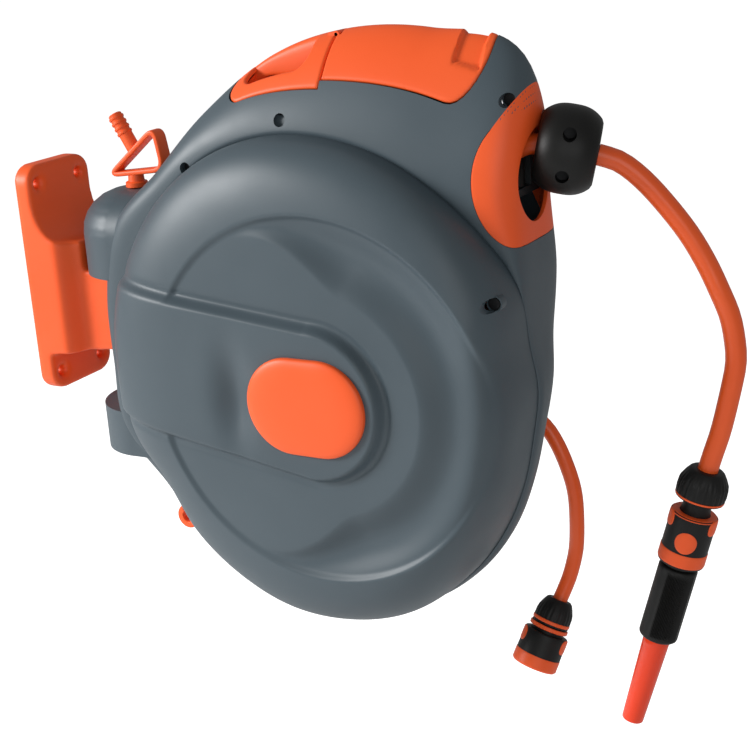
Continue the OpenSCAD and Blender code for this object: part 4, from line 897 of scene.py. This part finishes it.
# %% Hoses on the drum
def tube_mesh(name, line, radius, sides=20):
    """A round tube along points, with end caps."""
    p = np.array(line, float)
    d = np.gradient(p, axis=0)
    d /= np.linalg.norm(d, axis=1, keepdims=True)
    side_way = np.cross(d, [0.11, 0.97, 0.21])
    side_way /= np.linalg.norm(side_way, axis=1, keepdims=True)
    other = np.cross(d, side_way)
    a = np.arange(sides) * 2 * math.pi / sides
    spread_a, spread_b = np.cos(a)[None, :, None], np.sin(a)[None, :, None]
    rings = p[:, None] + radius * (spread_a * side_way[:, None] + spread_b * other[:, None])
    return mesh_object(name, rings.reshape(-1, 3) * MM, capped_faces(len(p), sides))


pack_r, pack_side_r, pack_bore = 93.0, 90, 58.2
pack_near, pack_far, scallop, scallop_run = -51.8, 20.8, 1.6, 14.5
winding_r, winding_y, pitch, loops, loop_steps, pack_steps = 100.9, -44.9, 14.4, 4, 72, 120
lead_shares = ((0.15, 0.063, 0.63), (0.35, 0.03, 0.70), (0.51, 0, 0.76), (0.58, 0, 0.78))
first_lead = Vector((lead_shares[0][0] * case_r, lead_shares[0][2] * case_r))
leave = math.degrees(math.atan2(first_lead.y, first_lead.x) + math.acos(winding_r / first_lead.length))
turns = np.linspace(0, loops, loops * loop_steps + 1)
angle = np.radians(leave + 360 * (loops - turns))
winding = np.stack([axis_x + winding_r * np.cos(angle), winding_y + pitch * turns,
                    axis_z + winding_r * np.sin(angle)], -1)
hose_turns = tube_mesh("hose_turns", winding, hose_r)
finish_piece(hose_turns, "drum", "hose_rubber", "hose_winding", 60)
lead_points = [winding[-1] + [7, 0, 1.5]]
lead_points += [(axis_x + a * case_r, b * case_r, axis_z + c * case_r) for a, b, c in lead_shares]
hose_lead = tube_mesh("hose_to_stop", smooth_line(lead_points + [stop_in, stop_out], 90), hose_r)
finish_piece(hose_lead, "case", "hose_rubber", "hose_lead", 60)
pack_profile = [(pack_near, pack_bore), (pack_near, pack_side_r)]
pack_profile += [(y, pack_r - scallop + scallop * abs(math.sin(math.pi * (y + 52) / scallop_run)))
                 for y in np.arange(-51, 20.5, 1.2)]
pack_profile += [(pack_far, pack_side_r), (pack_far, pack_bore)]
around_y = np.arange(pack_steps) * 2 * math.pi / pack_steps
rings = np.array([[(axis_x + r * math.cos(a), y, axis_z + r * math.sin(a)) for a in around_y]
                  for y, r in pack_profile])
hose_layers = mesh_object("hose_layers", rings.reshape(-1, 3) * MM, grid_faces(len(rings), pack_steps, True))
finish_piece(hose_layers, "drum", "hose_rubber", "hose_pack", 60)
print("winding", len(winding), "points, leaves at", round(leave, 1), "degrees")

# %% [markdown]
# The hose stop is a soft barrel in two halves, clamped round the hose by two screws. Its rounded edges
# mark the joint, and the screws sit in round pockets.

# %% Hose stop
def half_turned(name, profile, place, start, steps=40):
    """Half a solid of revolution, closed along its flat face."""
    a = start + np.linspace(0, math.pi, steps)
    rings = np.array([[(r * math.cos(b), r * math.sin(b), h) for h, r in profile] for b in a])
    n = len(profile)
    faces = [(k * n + i, k * n + i + 1, (k + 1) * n + i + 1, (k + 1) * n + i)
             for k in range(steps - 1) for i in range(n - 1)]
    faces += [tuple(range(n)), tuple(range((steps - 1) * n, steps * n))[::-1]]
    faces += [(k * n, (k + 1) * n, (k + 1) * n + n - 1, k * n + n - 1) for k in range(steps - 1)]
    obj = mesh_object(name, rings.reshape(-1, 3) * MM, faces)
    obj.data.transform(place)
    return obj


bore, stop_l, end_drop, pocket_side, pocket_from = 7.0, 2.0 * stop_half, 1.2, 13, 12.2
stop_loop = stop_profile(0)[1:-1]
stop_loop = ([(0.0, bore), (0.0, stop_loop[0][1] - end_drop)] + stop_loop[1:-1]
             + [(stop_l, stop_loop[-1][1] - end_drop), (stop_l, bore)])
for name, start, node in (("stop_near_half", math.pi, "near_stop_half"),
                          ("stop_far_half", 0.0, "far_stop_half")):
    half = half_turned(name, stop_loop, stop_place, start)
    soften(half, 0.7, 2, 50)
    if start:
        for s in (-pocket_side, pocket_side):
            place = along_way(stop_at, stop_way) @ upright(s, 0, 0)
            place = place @ Matrix.Rotation(math.radians(90), 4, "X") @ upright(0, 0, pocket_from)
            pocket = turned_mesh("cut_pocket", rod(30, 4.2), place, 28)
            carve(half, pocket)
            drop(pocket)
    finish_piece(half, "case", "black_plastic", node, 40)
print("stop", [o for o in pieces if o.startswith("stop")])

# %% [markdown]
# Nozzle and quick connectors are turned pieces: a profile swept round an axis. Knurls and ribs are
# small waves added to the radius, the way a mould cuts them. The orange rings, clips and the bare
# round badge are pieces of their own on the black sleeves.

# %% Turned fittings
def lathe(name, profile, place, steps, wave):
    """Sweeps a closed loop of (height, radius) pairs; wave adds to the radius at (angle, height)."""
    a = np.arange(steps) * 2 * math.pi / steps
    rows = []
    for h, r in profile:
        radius = np.full(steps, float(r)) + (wave(a, h, r) if wave else 0)
        rows.append(np.stack([radius * np.cos(a), radius * np.sin(a), np.full(steps, float(h))], -1))
    obj = mesh_object(name, np.concatenate(rows) * MM, grid_faces(len(rows), steps, True))
    obj.data.transform(place)
    return obj


def fitting(name, profile, place, body, slot, node=None, steps=96, wave=None):
    """A turned piece with its finish; rings that stand for no node keep sharper edges."""
    finish_piece(lathe(name, profile, place, steps, wave), body, slot, node, 40 if node else 35)


def rounded(h0, h1, r0, r1, bore, edge=0.8, rows=8):
    """A ring's profile from h0 to h1 with radii r0 and r1, rounded at both outer corners."""
    q = np.linspace(0, math.pi / 2, 4)
    low = [(h0 + edge * (1 - math.sin(a)), r0 - edge * (1 - math.cos(a))) for a in q[::-1]]
    high = [(h1 - edge * (1 - math.sin(a)), r1 - edge * (1 - math.cos(a))) for a in q]
    shares = np.linspace(0, 1, rows)[1:-1]
    body = [(h0 + edge + (h1 - h0 - 2 * edge) * f, r0 + (r1 - r0) * f) for f in shares]
    return [(h0, bore)] + low + body + high + [(h1, bore)]


def ribs(low, high, least, deep, count):
    """A wave of ribs between two heights, on radii over the least one."""
    def wave(a, h, r):
        return np.where((h > low) & (h < high) & (r > least), deep * np.cos(count * a), 0)
    return wave


def turn_to_view(place, at):
    """The angle about a fitting's axis that faces the camera."""
    seen = place.to_3x3().inverted() @ (camera.location - at * MM)
    return math.atan2(seen.y, seen.x)


nozzle = along_way(nozzle_at, nozzle_way)
view_turn = turn_to_view(nozzle, nozzle_at)


def barrel_wave(a, h, r):
    """Fine knurls on the side that faces the view, between two shallow flats."""
    lap = (a - view_turn + 0.35 + math.pi) % (2 * math.pi) - math.pi
    fine = 0.32 * np.cos(84 * a) * ramp(0.85, 0.7, np.abs(lap))
    flat = -0.5 * ramp(0.25, 0.0, np.abs(np.abs(lap) - 0.95))
    return np.where((h > 74) & (h < 122) & (r > 10), fine + flat, 0)


def tip_wave(a, h, r):
    """A spout that is a little flatter towards the view."""
    return np.where(r > 6, -0.25 * np.cos(2 * (a - view_turn)) - 0.25, 0)


nut = [(0, 7), (0, 10.8), (0.8, 11.8), (4, 14.0), (8, 15.8), (10.5, 16.3), (15, 16.5), (18.2, 16.5),
       (18.6, 16.1), (20.6, 16.1), (21, 15.6), (21, 7)]
neck = [(21.0, 7), (21.0, 9.6), (22.5, 10), (26, 9.4), (30.5, 10), (68, 10), (68.2, 9), (68.2, 4.2),
        (48, 4.2), (48, 7)]
sleeve = rounded(31.2, 68, 15.6, 15.6, 10.3, 1.2, 10)
barrel = rounded(70.6, 126, 13.2, 13.2, 6.8, 2.2, 26)
tip = rounded(126.3, 193.2, 9.2, 7.5, 4.0, 1.4, 14)
nut_ring = rounded(18.7, 20.0, 16.5, 16.5, 15.6, 0.4)
sleeve_ring = rounded(57.0, 66.6, 16.0, 16.0, 15.2, 0.9)
sleeve_rim = rounded(31.0, 32.6, 14.9, 15.9, 10.4, 0.5)
fitting("hose_nut_cap", nut, nozzle, "case", "black_plastic", "hose_nut", 168, ribs(4, 17, 12, 0.35, 28))
fitting("hose_nut_ring", nut_ring, nozzle, "case", "orange_plastic")
fitting("hose_neck", neck, nozzle, "case", "black_plastic", "hose_connector")
fitting("hose_sleeve", sleeve, nozzle, "hose_collar", "black_plastic", "hose_collar")
fitting("hose_sleeve_ring", sleeve_ring, nozzle, "hose_collar", "orange_plastic")
fitting("hose_sleeve_rim", sleeve_rim, nozzle, "hose_collar", "orange_plastic")
fitting("nozzle_sleeve", barrel, nozzle, "nozzle_barrel", "black_plastic", "nozzle_barrel", 336, barrel_wave)
fitting("nozzle_spout", tip, nozzle, "case", "gloss_orange", "nozzle_tip", 96, tip_wave)
print("nozzle faces view at", round(math.degrees(view_turn)))

# %% [markdown]
# The sleeve's two finger clips lie either side of the view, with a bare round badge between them.
# They are small pads that hug the cylinder: a flat outline is wrapped round the sleeve's radius and
# its middle stands a little prouder than its rim. The leader's connector is made the same way.

# %% Clips and round badges
pad_rings, pad_count, pad_foot = 9, 64, -1.2


def wrapped_pad(name, place, centre, height, wide, tall, radius, proud, power=2.0):
    """A rounded pad on a cylinder: an outline in arc length and height, crowned in the middle."""
    a = np.arange(pad_count) * 2 * math.pi / pad_count
    edge_x, edge_h = wide / 2 * squared(np.cos(a), 2 / power), tall / 2 * squared(np.sin(a), 2 / power)
    shares = np.cos(np.linspace(0.05, math.pi / 2, pad_rings))
    rows = []
    for f, lift in [(1.0, pad_foot)] + [(f, proud * (1 - f ** 6) ** 0.5) for f in shares]:
        turn_by, r = centre + edge_x * f / radius, radius + lift
        rows.append(np.stack([r * np.cos(turn_by), r * np.sin(turn_by), height + edge_h * f], -1))
    faces = grid_faces(len(rows), pad_count) + [tuple(range(pad_count))[::-1]]
    obj = mesh_object(name, np.concatenate(rows) * MM, faces)
    face_outwards(obj.data, JOIN)
    obj.data.transform(place)
    return obj


for k, turn_by in enumerate((-1.25, 1.25)):
    clip = wrapped_pad(f"hose_clip_{k + 1}", nozzle, view_turn + turn_by, 36.5, 13, 11, 15.7, 0.5, 3.0)
    finish_piece(clip, "hose_collar", "orange_plastic")
badge_disc = wrapped_pad("hose_sleeve_badge", nozzle, view_turn, 48.5, 15, 15, 15.7, 0.5)
finish_piece(badge_disc, "hose_collar", "orange_plastic")

leader = along_way(leader_end, leader_way)
leader_turn = turn_to_view(leader, leader_end)
cap = [(0, 5.6), (0, 8.6), (1.2, 9.9), (4, 11.4), (8, 12.8), (11, 13.4), (15, 13.5), (19.4, 13.5),
       (20, 12.9), (20, 5.6)]
socket = [(20, 3), (20, 13.2), (20.4, 13.5), (22.6, 13.5), (23, 13.2), (23, 12), (52.2, 12), (52.4, 11.6),
          (52.4, 9.4), (51.8, 9), (31, 9), (30.4, 8.4), (30.4, 3)]
upper_ring = rounded(15.6, 18.2, 14.0, 14.0, 13.0, 0.6)
lower_ring = rounded(20.3, 23.2, 14.4, 14.4, 13.3, 0.6)
leader_sleeve = rounded(25.8, 51.8, 16.4, 16.8, 12.3, 1.2)
leader_ring = rounded(42.5, 51.9, 16.9, 16.9, 15.9, 0.9)
leader_lip = rounded(51.2, 52.6, 16.2, 16.0, 12.2, 0.5)
fitting("leader_cap", cap, leader, "case", "black_plastic", "leader_nut", 120, ribs(4, 16, 10, 0.25, 24))
fitting("leader_ring_upper", upper_ring, leader, "case", "orange_plastic")
fitting("leader_socket_body", socket, leader, "case", "black_plastic", "leader_connector")
fitting("leader_ring_lower", lower_ring, leader, "case", "orange_plastic")
fitting("leader_sleeve", leader_sleeve, leader, "leader_collar", "black_plastic", "leader_collar")
fitting("leader_sleeve_ring", leader_ring, leader, "leader_collar", "orange_plastic")
fitting("leader_sleeve_lip", leader_lip, leader, "leader_collar", "orange_plastic")
for k, turn_by in enumerate((-1.3, 1.3)):
    clip = wrapped_pad(f"leader_clip_{k + 1}", leader, leader_turn + turn_by, 31.5, 12, 11, 16.5, 0.4, 3.0)
    finish_piece(clip, "leader_collar", "orange_plastic")
valve_profile = [(30.3, 0), (30.3, 4.2), (36, 3.6), (38, 2.2), (38.6, 0)]
valve = turned_mesh("leader_valve", valve_profile, leader, 32)
finish_piece(valve, "case", "steel")
print("fittings", len(pieces), "pieces so far")

# %% [markdown]
# The side badge is a bare stadium of orange plastic let into the near side. Its face is crowned and
# its rim sinks into the tongue, so it reads as a separate cap. It carries no mark.

# %% Side badge
badge_l, badge_w, badge_foot, badge_rim, badge_crown = 88, 66, 83.5, 86.4, 4.4
badge_reach = (badge_l - badge_w) / 2
edge = even_ring(arc(badge_reach, 0, badge_w / 2, -90, 90, 24)
                 + arc(-badge_reach, 0, badge_w / 2, 90, 270, 24), 160)
middle = np.stack([np.clip(edge[:, 0], -badge_reach, badge_reach), 0 * edge[:, 1]], -1)
rows = [(1.0, badge_foot), (1.0, badge_rim)]
rows += [(math.cos(a) ** 0.5, badge_rim + badge_crown * math.sin(a) ** 0.8)
         for a in np.linspace(0.08, math.pi / 2, 22)]
loop = np.array([[(axis_x + x, -h, axis_z + z) for x, z in middle + (edge - middle) * f] for f, h in rows])
faces = grid_faces(len(rows), len(edge)) + [tuple(range(len(edge)))[::-1]]
badge = mesh_object("side_badge_cap", loop.reshape(-1, 3) * MM, faces)
face_outwards(badge.data, JOIN)
finish_piece(badge, "case", "orange_plastic", "side_badge", 50)
print("badge", len(badge.data.polygons), "faces")

# %% Free hoses
main_names = ("stop_", "hose_nut", "hose_neck", "hose_sleeve", "hose_clip", "nozzle_")
on_main = [pieces[k] for k in pieces if k.startswith(main_names)]
on_leader = [pieces[k] for k in pieces if k.startswith("leader_")]
for obj, node, start, length, diameter, end, riders in (
        (main_hose, "main_hose", stop_out, main_length, 0.0136, "tool", on_main),
        (leader_hose, "leader_hose", leader_start, leader_length, 0.011, "connector", on_leader)):
    obj.data.materials.append(finishes["hose_rubber"])
    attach(obj, "case")
    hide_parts(node)
print("free hoses carry", len(on_main), "and", len(on_leader), "pieces")

# %% [markdown]
# What is left shows as it was built: yoke, rollers, drum, axle, inlet and screws are plain turned and
# moulded pieces. Their meshes stay untouched. A weld joins the facets, a bevel breaks the edges as a
# mould would, and weighted normals keep the flats flat. Each number is the width of a bevel.

# %% Plain pieces
plain = {
    "case_plastic": {"swivel_yoke": 1.6},
    "orange_plastic": {"grip_well": 0.4, "hook_loop": 1.0},
    "black_plastic": {"pivot_bushes": 0.3, "near_roller": 0.6, "far_roller": 0.6, "drum_bushes": 0.2,
                      "rotary_hub": 0.3, "pawl": 0.4, "drum_pipe": 0.3, "nozzle_body": 0.2,
                      "inlet_elbow": 1.0, "inlet_nut": 1.2},
    "dark_plastic": {"storage_tray": 0.3, "roller_frame": 0.3, "drum_core": 0.3, "near_flange": 0.6,
                     "far_flange": 0.6, "spring_cover": 0.3, "ratchet_ring": 0.3, "inlet_plate": 0.8},
    "black_rubber": {"axle_seals": 0.3},
    "steel": {"lid_hinge_pin": 0.1, "roller_pins": 0.1, "axle": 0.3, "power_spring": 0.1, "pawl_pin": 0.1},
    # The screws take the near-black screw material, which is painted shade for their deep pockets.
    "black_oxide": {"case_screws": 0.3, "stop_screws": 0.3}}
plain_rows = [(name, slot, width) for slot, group in plain.items() for name, width in group.items()]
for name, slot, width in plain_rows:
    obj = nodes[name]
    obj.data.materials.clear()
    obj.data.materials.append(finishes.get(slot, painted_shade_screw_mat))
    add_weld(obj, JOIN)
    add_bevel(obj, width, 3, 38).harden_normals = True
    obj.modifiers.new("even", "WEIGHTED_NORMAL").keep_sharp = True
    obj.data.shade_smooth()
print("plain pieces", len(plain_rows))

# %% [markdown]
# A saddle carries each swivel lug's own section forward until it dips under the case's skin, so no gap
# opens between lug and case. A round pocket in it takes the screw that holds it.

# %% Lug saddles
saddle_half, saddle_front, saddle_screw_x = 42, 114, 94
upper = [(-saddle_half, 8.2), (-saddle_half, lug_top)]
upper += [(-10 - 32 * math.cos(a), lug_top + 30 * math.sin(a)) for a in np.linspace(0.08, math.pi / 2, 16)]
lower = [(-saddle_half, -125.8), (-saddle_half, -92.2)]
for name, half, screw_z in (("upper_lug_saddle", upper, 18), ("lower_lug_saddle", lower, -102)):
    ring = half + [(-y, z) for y, z in half[::-1]]
    saddle = prism(name, ring, pin_x, saddle_front, ALONG_X)
    pocket = turned_mesh("cut_lug_screw", rod(10, 4.2), along_y(saddle_screw_x, -47, screw_z), 28)
    carve(saddle, pocket)
    drop(pocket)
    finish_piece(saddle, "case", "case_plastic", angle=40)
print("saddles", [k for k in pieces if k.endswith("saddle")])

# %% [markdown]
# The swivel pin is a plain rod with a finger loop and a ribbed peg that parks a spare connector. The
# loop is a flat strap bent to a triangle, so its section is swept round a triangle with round corners.

# %% Swivel pin
shaft = [(-130, 0), (-130, 3.6), (-129.6, 4), (-126, 6), (68.1, 6), (68.1, 7.6), (68.5, 8), (71.6, 8),
         (72, 7.6), (72.4, 6), (79, 5.4), (79, 0)]
pin = turned_mesh("swivel_pin_shaft", shaft, upright(pin_x, 0, 0), 48)
finish_piece(pin, "pin", "orange_plastic", "swivel_pin", 40)
loop_round, strap_rows, strap_sides, strap_half_t, strap_half_w = 9, 150, 24, 1.9, 6.0
corners = [np.array(c) for c in ((66, 76.5), (114.5, 82), (109.5, 111.5))]
line = []
for k in range(3):
    a, b, c = corners[k - 1], corners[k], corners[(k + 1) % 3]
    start = b + (a - b) / np.linalg.norm(a - b) * loop_round
    end = b + (c - b) / np.linalg.norm(c - b) * loop_round
    line += [tuple((1 - f) ** 2 * start + 2 * f * (1 - f) * b + f * f * end) for f in np.linspace(0, 1, 10)]
line = even_ring(line, strap_rows)
bend = np.arange(strap_sides) * math.pi / (strap_sides / 2)
section = list(zip(strap_half_t * squared(np.cos(bend), 0.4), strap_half_w * squared(np.sin(bend), 0.4)))
rows = np.array([[(c[0] + n[0] * a, b, c[1] + n[1] * a) for a, b in section]
                 for c, n in zip(line, inward(line))])
finger_loop = mesh_object("finger_loop", rows.reshape(-1, 3) * MM, grid_faces(strap_rows, strap_sides, True))
finish_piece(finger_loop, "pin", "orange_plastic", angle=50)
rib_profile = ((0, 5), (0.2, 5.6), (1, 5.8), (1.8, 5.6), (2, 5))
peg_profile = [(0, 0), (0, 5)] + [(h + dh, r) for h in (14, 18, 22, 26) for dh, r in rib_profile]
peg_profile += [(29.4, 5), (30, 4.4), (30, 0)]
peg_place = upright(87.75, 0, 94) @ Matrix.Rotation(math.radians(-30), 4, "Y")
peg = turned_mesh("parking_peg", peg_profile, peg_place, 40)
finish_piece(peg, "pin", "orange_plastic", angle=40)
print("pin pieces", len(pin.data.polygons), len(peg.data.polygons))

# %% [markdown]
# The wall bracket is one thick casting whose plate and arm run into each other through wide hollow
# curves. A bevel cannot round such a join evenly, so a copy of the solid is cut into small even
# cells, relaxed until every corner is soft, cleared where the upper lug turns, and thinned again.

# %% Wall bracket
cell, relax_share, relax_rounds, thin_share = 1.3 * MM, 0.5, 16, 0.35
bracket = linked("bracket_body", nodes["wall_bracket"].data.copy())
bracket.matrix_world = nodes["wall_bracket"].matrix_world
step = bracket.modifiers.new("cells", "REMESH")
step.mode = "VOXEL"
step.voxel_size = cell
step = bracket.modifiers.new("relax", "SMOOTH")
step.factor = relax_share
step.iterations = relax_rounds
bake(bracket)
lug_room_profile = [(7.6, 0), (7.6, 42.8), (72, 42.8), (72, 0)]
lug_room = turned_mesh("cut_lug_room", lug_room_profile, upright(pin_x, 0, 0), 96)
carve(bracket, lug_room)
drop(lug_room)
bracket.modifiers.new("thin", "DECIMATE").ratio = thin_share
bake(bracket)
finish_piece(bracket, "bracket", "orange_plastic", "wall_bracket", 60)
print("bracket", len(bracket.data.polygons), "faces")

# %% [markdown]
# The studio. A photographer would hang the reel before a white sweep, so the floor is pale and lies
# well below, the sky is a soft even grey for the light it gives and white for the camera. One broad
# key from the left models the dome and a weak fill keeps the right side from going black.

# %% Stage
sky_light, sky_seen, floor_seen = 0.3, 0.7, 0.75
floor_half, floor_z, aim = 30, -0.62, (0.25, 0, -0.05)
world = bpy.data.worlds.new("studio")
bpy.context.scene.world = world
world.use_nodes = True
tree = world.node_tree
shade = tree.nodes["Background"]
rays = tree.nodes.new("ShaderNodeLightPath")
seen = math_node(tree, "MAXIMUM", rays.outputs["Is Camera Ray"], rays.outputs["Is Transmission Ray"])
shade.inputs["Color"].default_value = (1, 1, 1, 1)
strength = math_node(tree, "ADD", math_node(tree, "MULTIPLY", seen, sky_seen), sky_light)
link(tree, strength, shade.inputs["Strength"])


def soft_light(name, at, size, power):
    """A round lamp that looks at the middle of the reel."""
    lamp = bpy.data.lights.new(name, "AREA")
    lamp.shape = "DISK"
    lamp.size = size
    lamp.energy = power
    obj = linked(name, lamp)
    obj.location = at
    obj.rotation_euler = (Vector(aim) - Vector(at)).to_track_quat("-Z", "Y").to_euler()
    return obj


key = soft_light("key_light", (-1.55, -1.3, 0.75), 0.9, 60)
fill = soft_light("fill_light", (1.3, -1.4, 0.4), 1.2, 6)
points = [(x * floor_half, y * floor_half, floor_z) for x, y in ((-1, -1), (1, -1), (1, 1), (-1, 1))]
floor = mesh_object("studio_floor", points, [(0, 1, 2, 3)])
floor_mat = plastic("floor_paper", "fbfbfb", "f8f8f8", 0.9, 0.02, grain_height=0.02)
tree = floor_mat.node_tree
shader = tree.nodes["Principled BSDF"]
rays = tree.nodes.new("ShaderNodeLightPath")
shader.inputs["Emission Color"].default_value = (1, 1, 1, 1)
lift = math_node(tree, "MULTIPLY", rays.outputs["Is Camera Ray"], floor_seen)
link(tree, lift, shader.inputs["Emission Strength"])
floor.data.materials.append(floor_mat)
bpy.context.scene.view_settings.view_transform = "Standard"
print("stage set")

# %% Finish
bpy.context.view_layer.update()
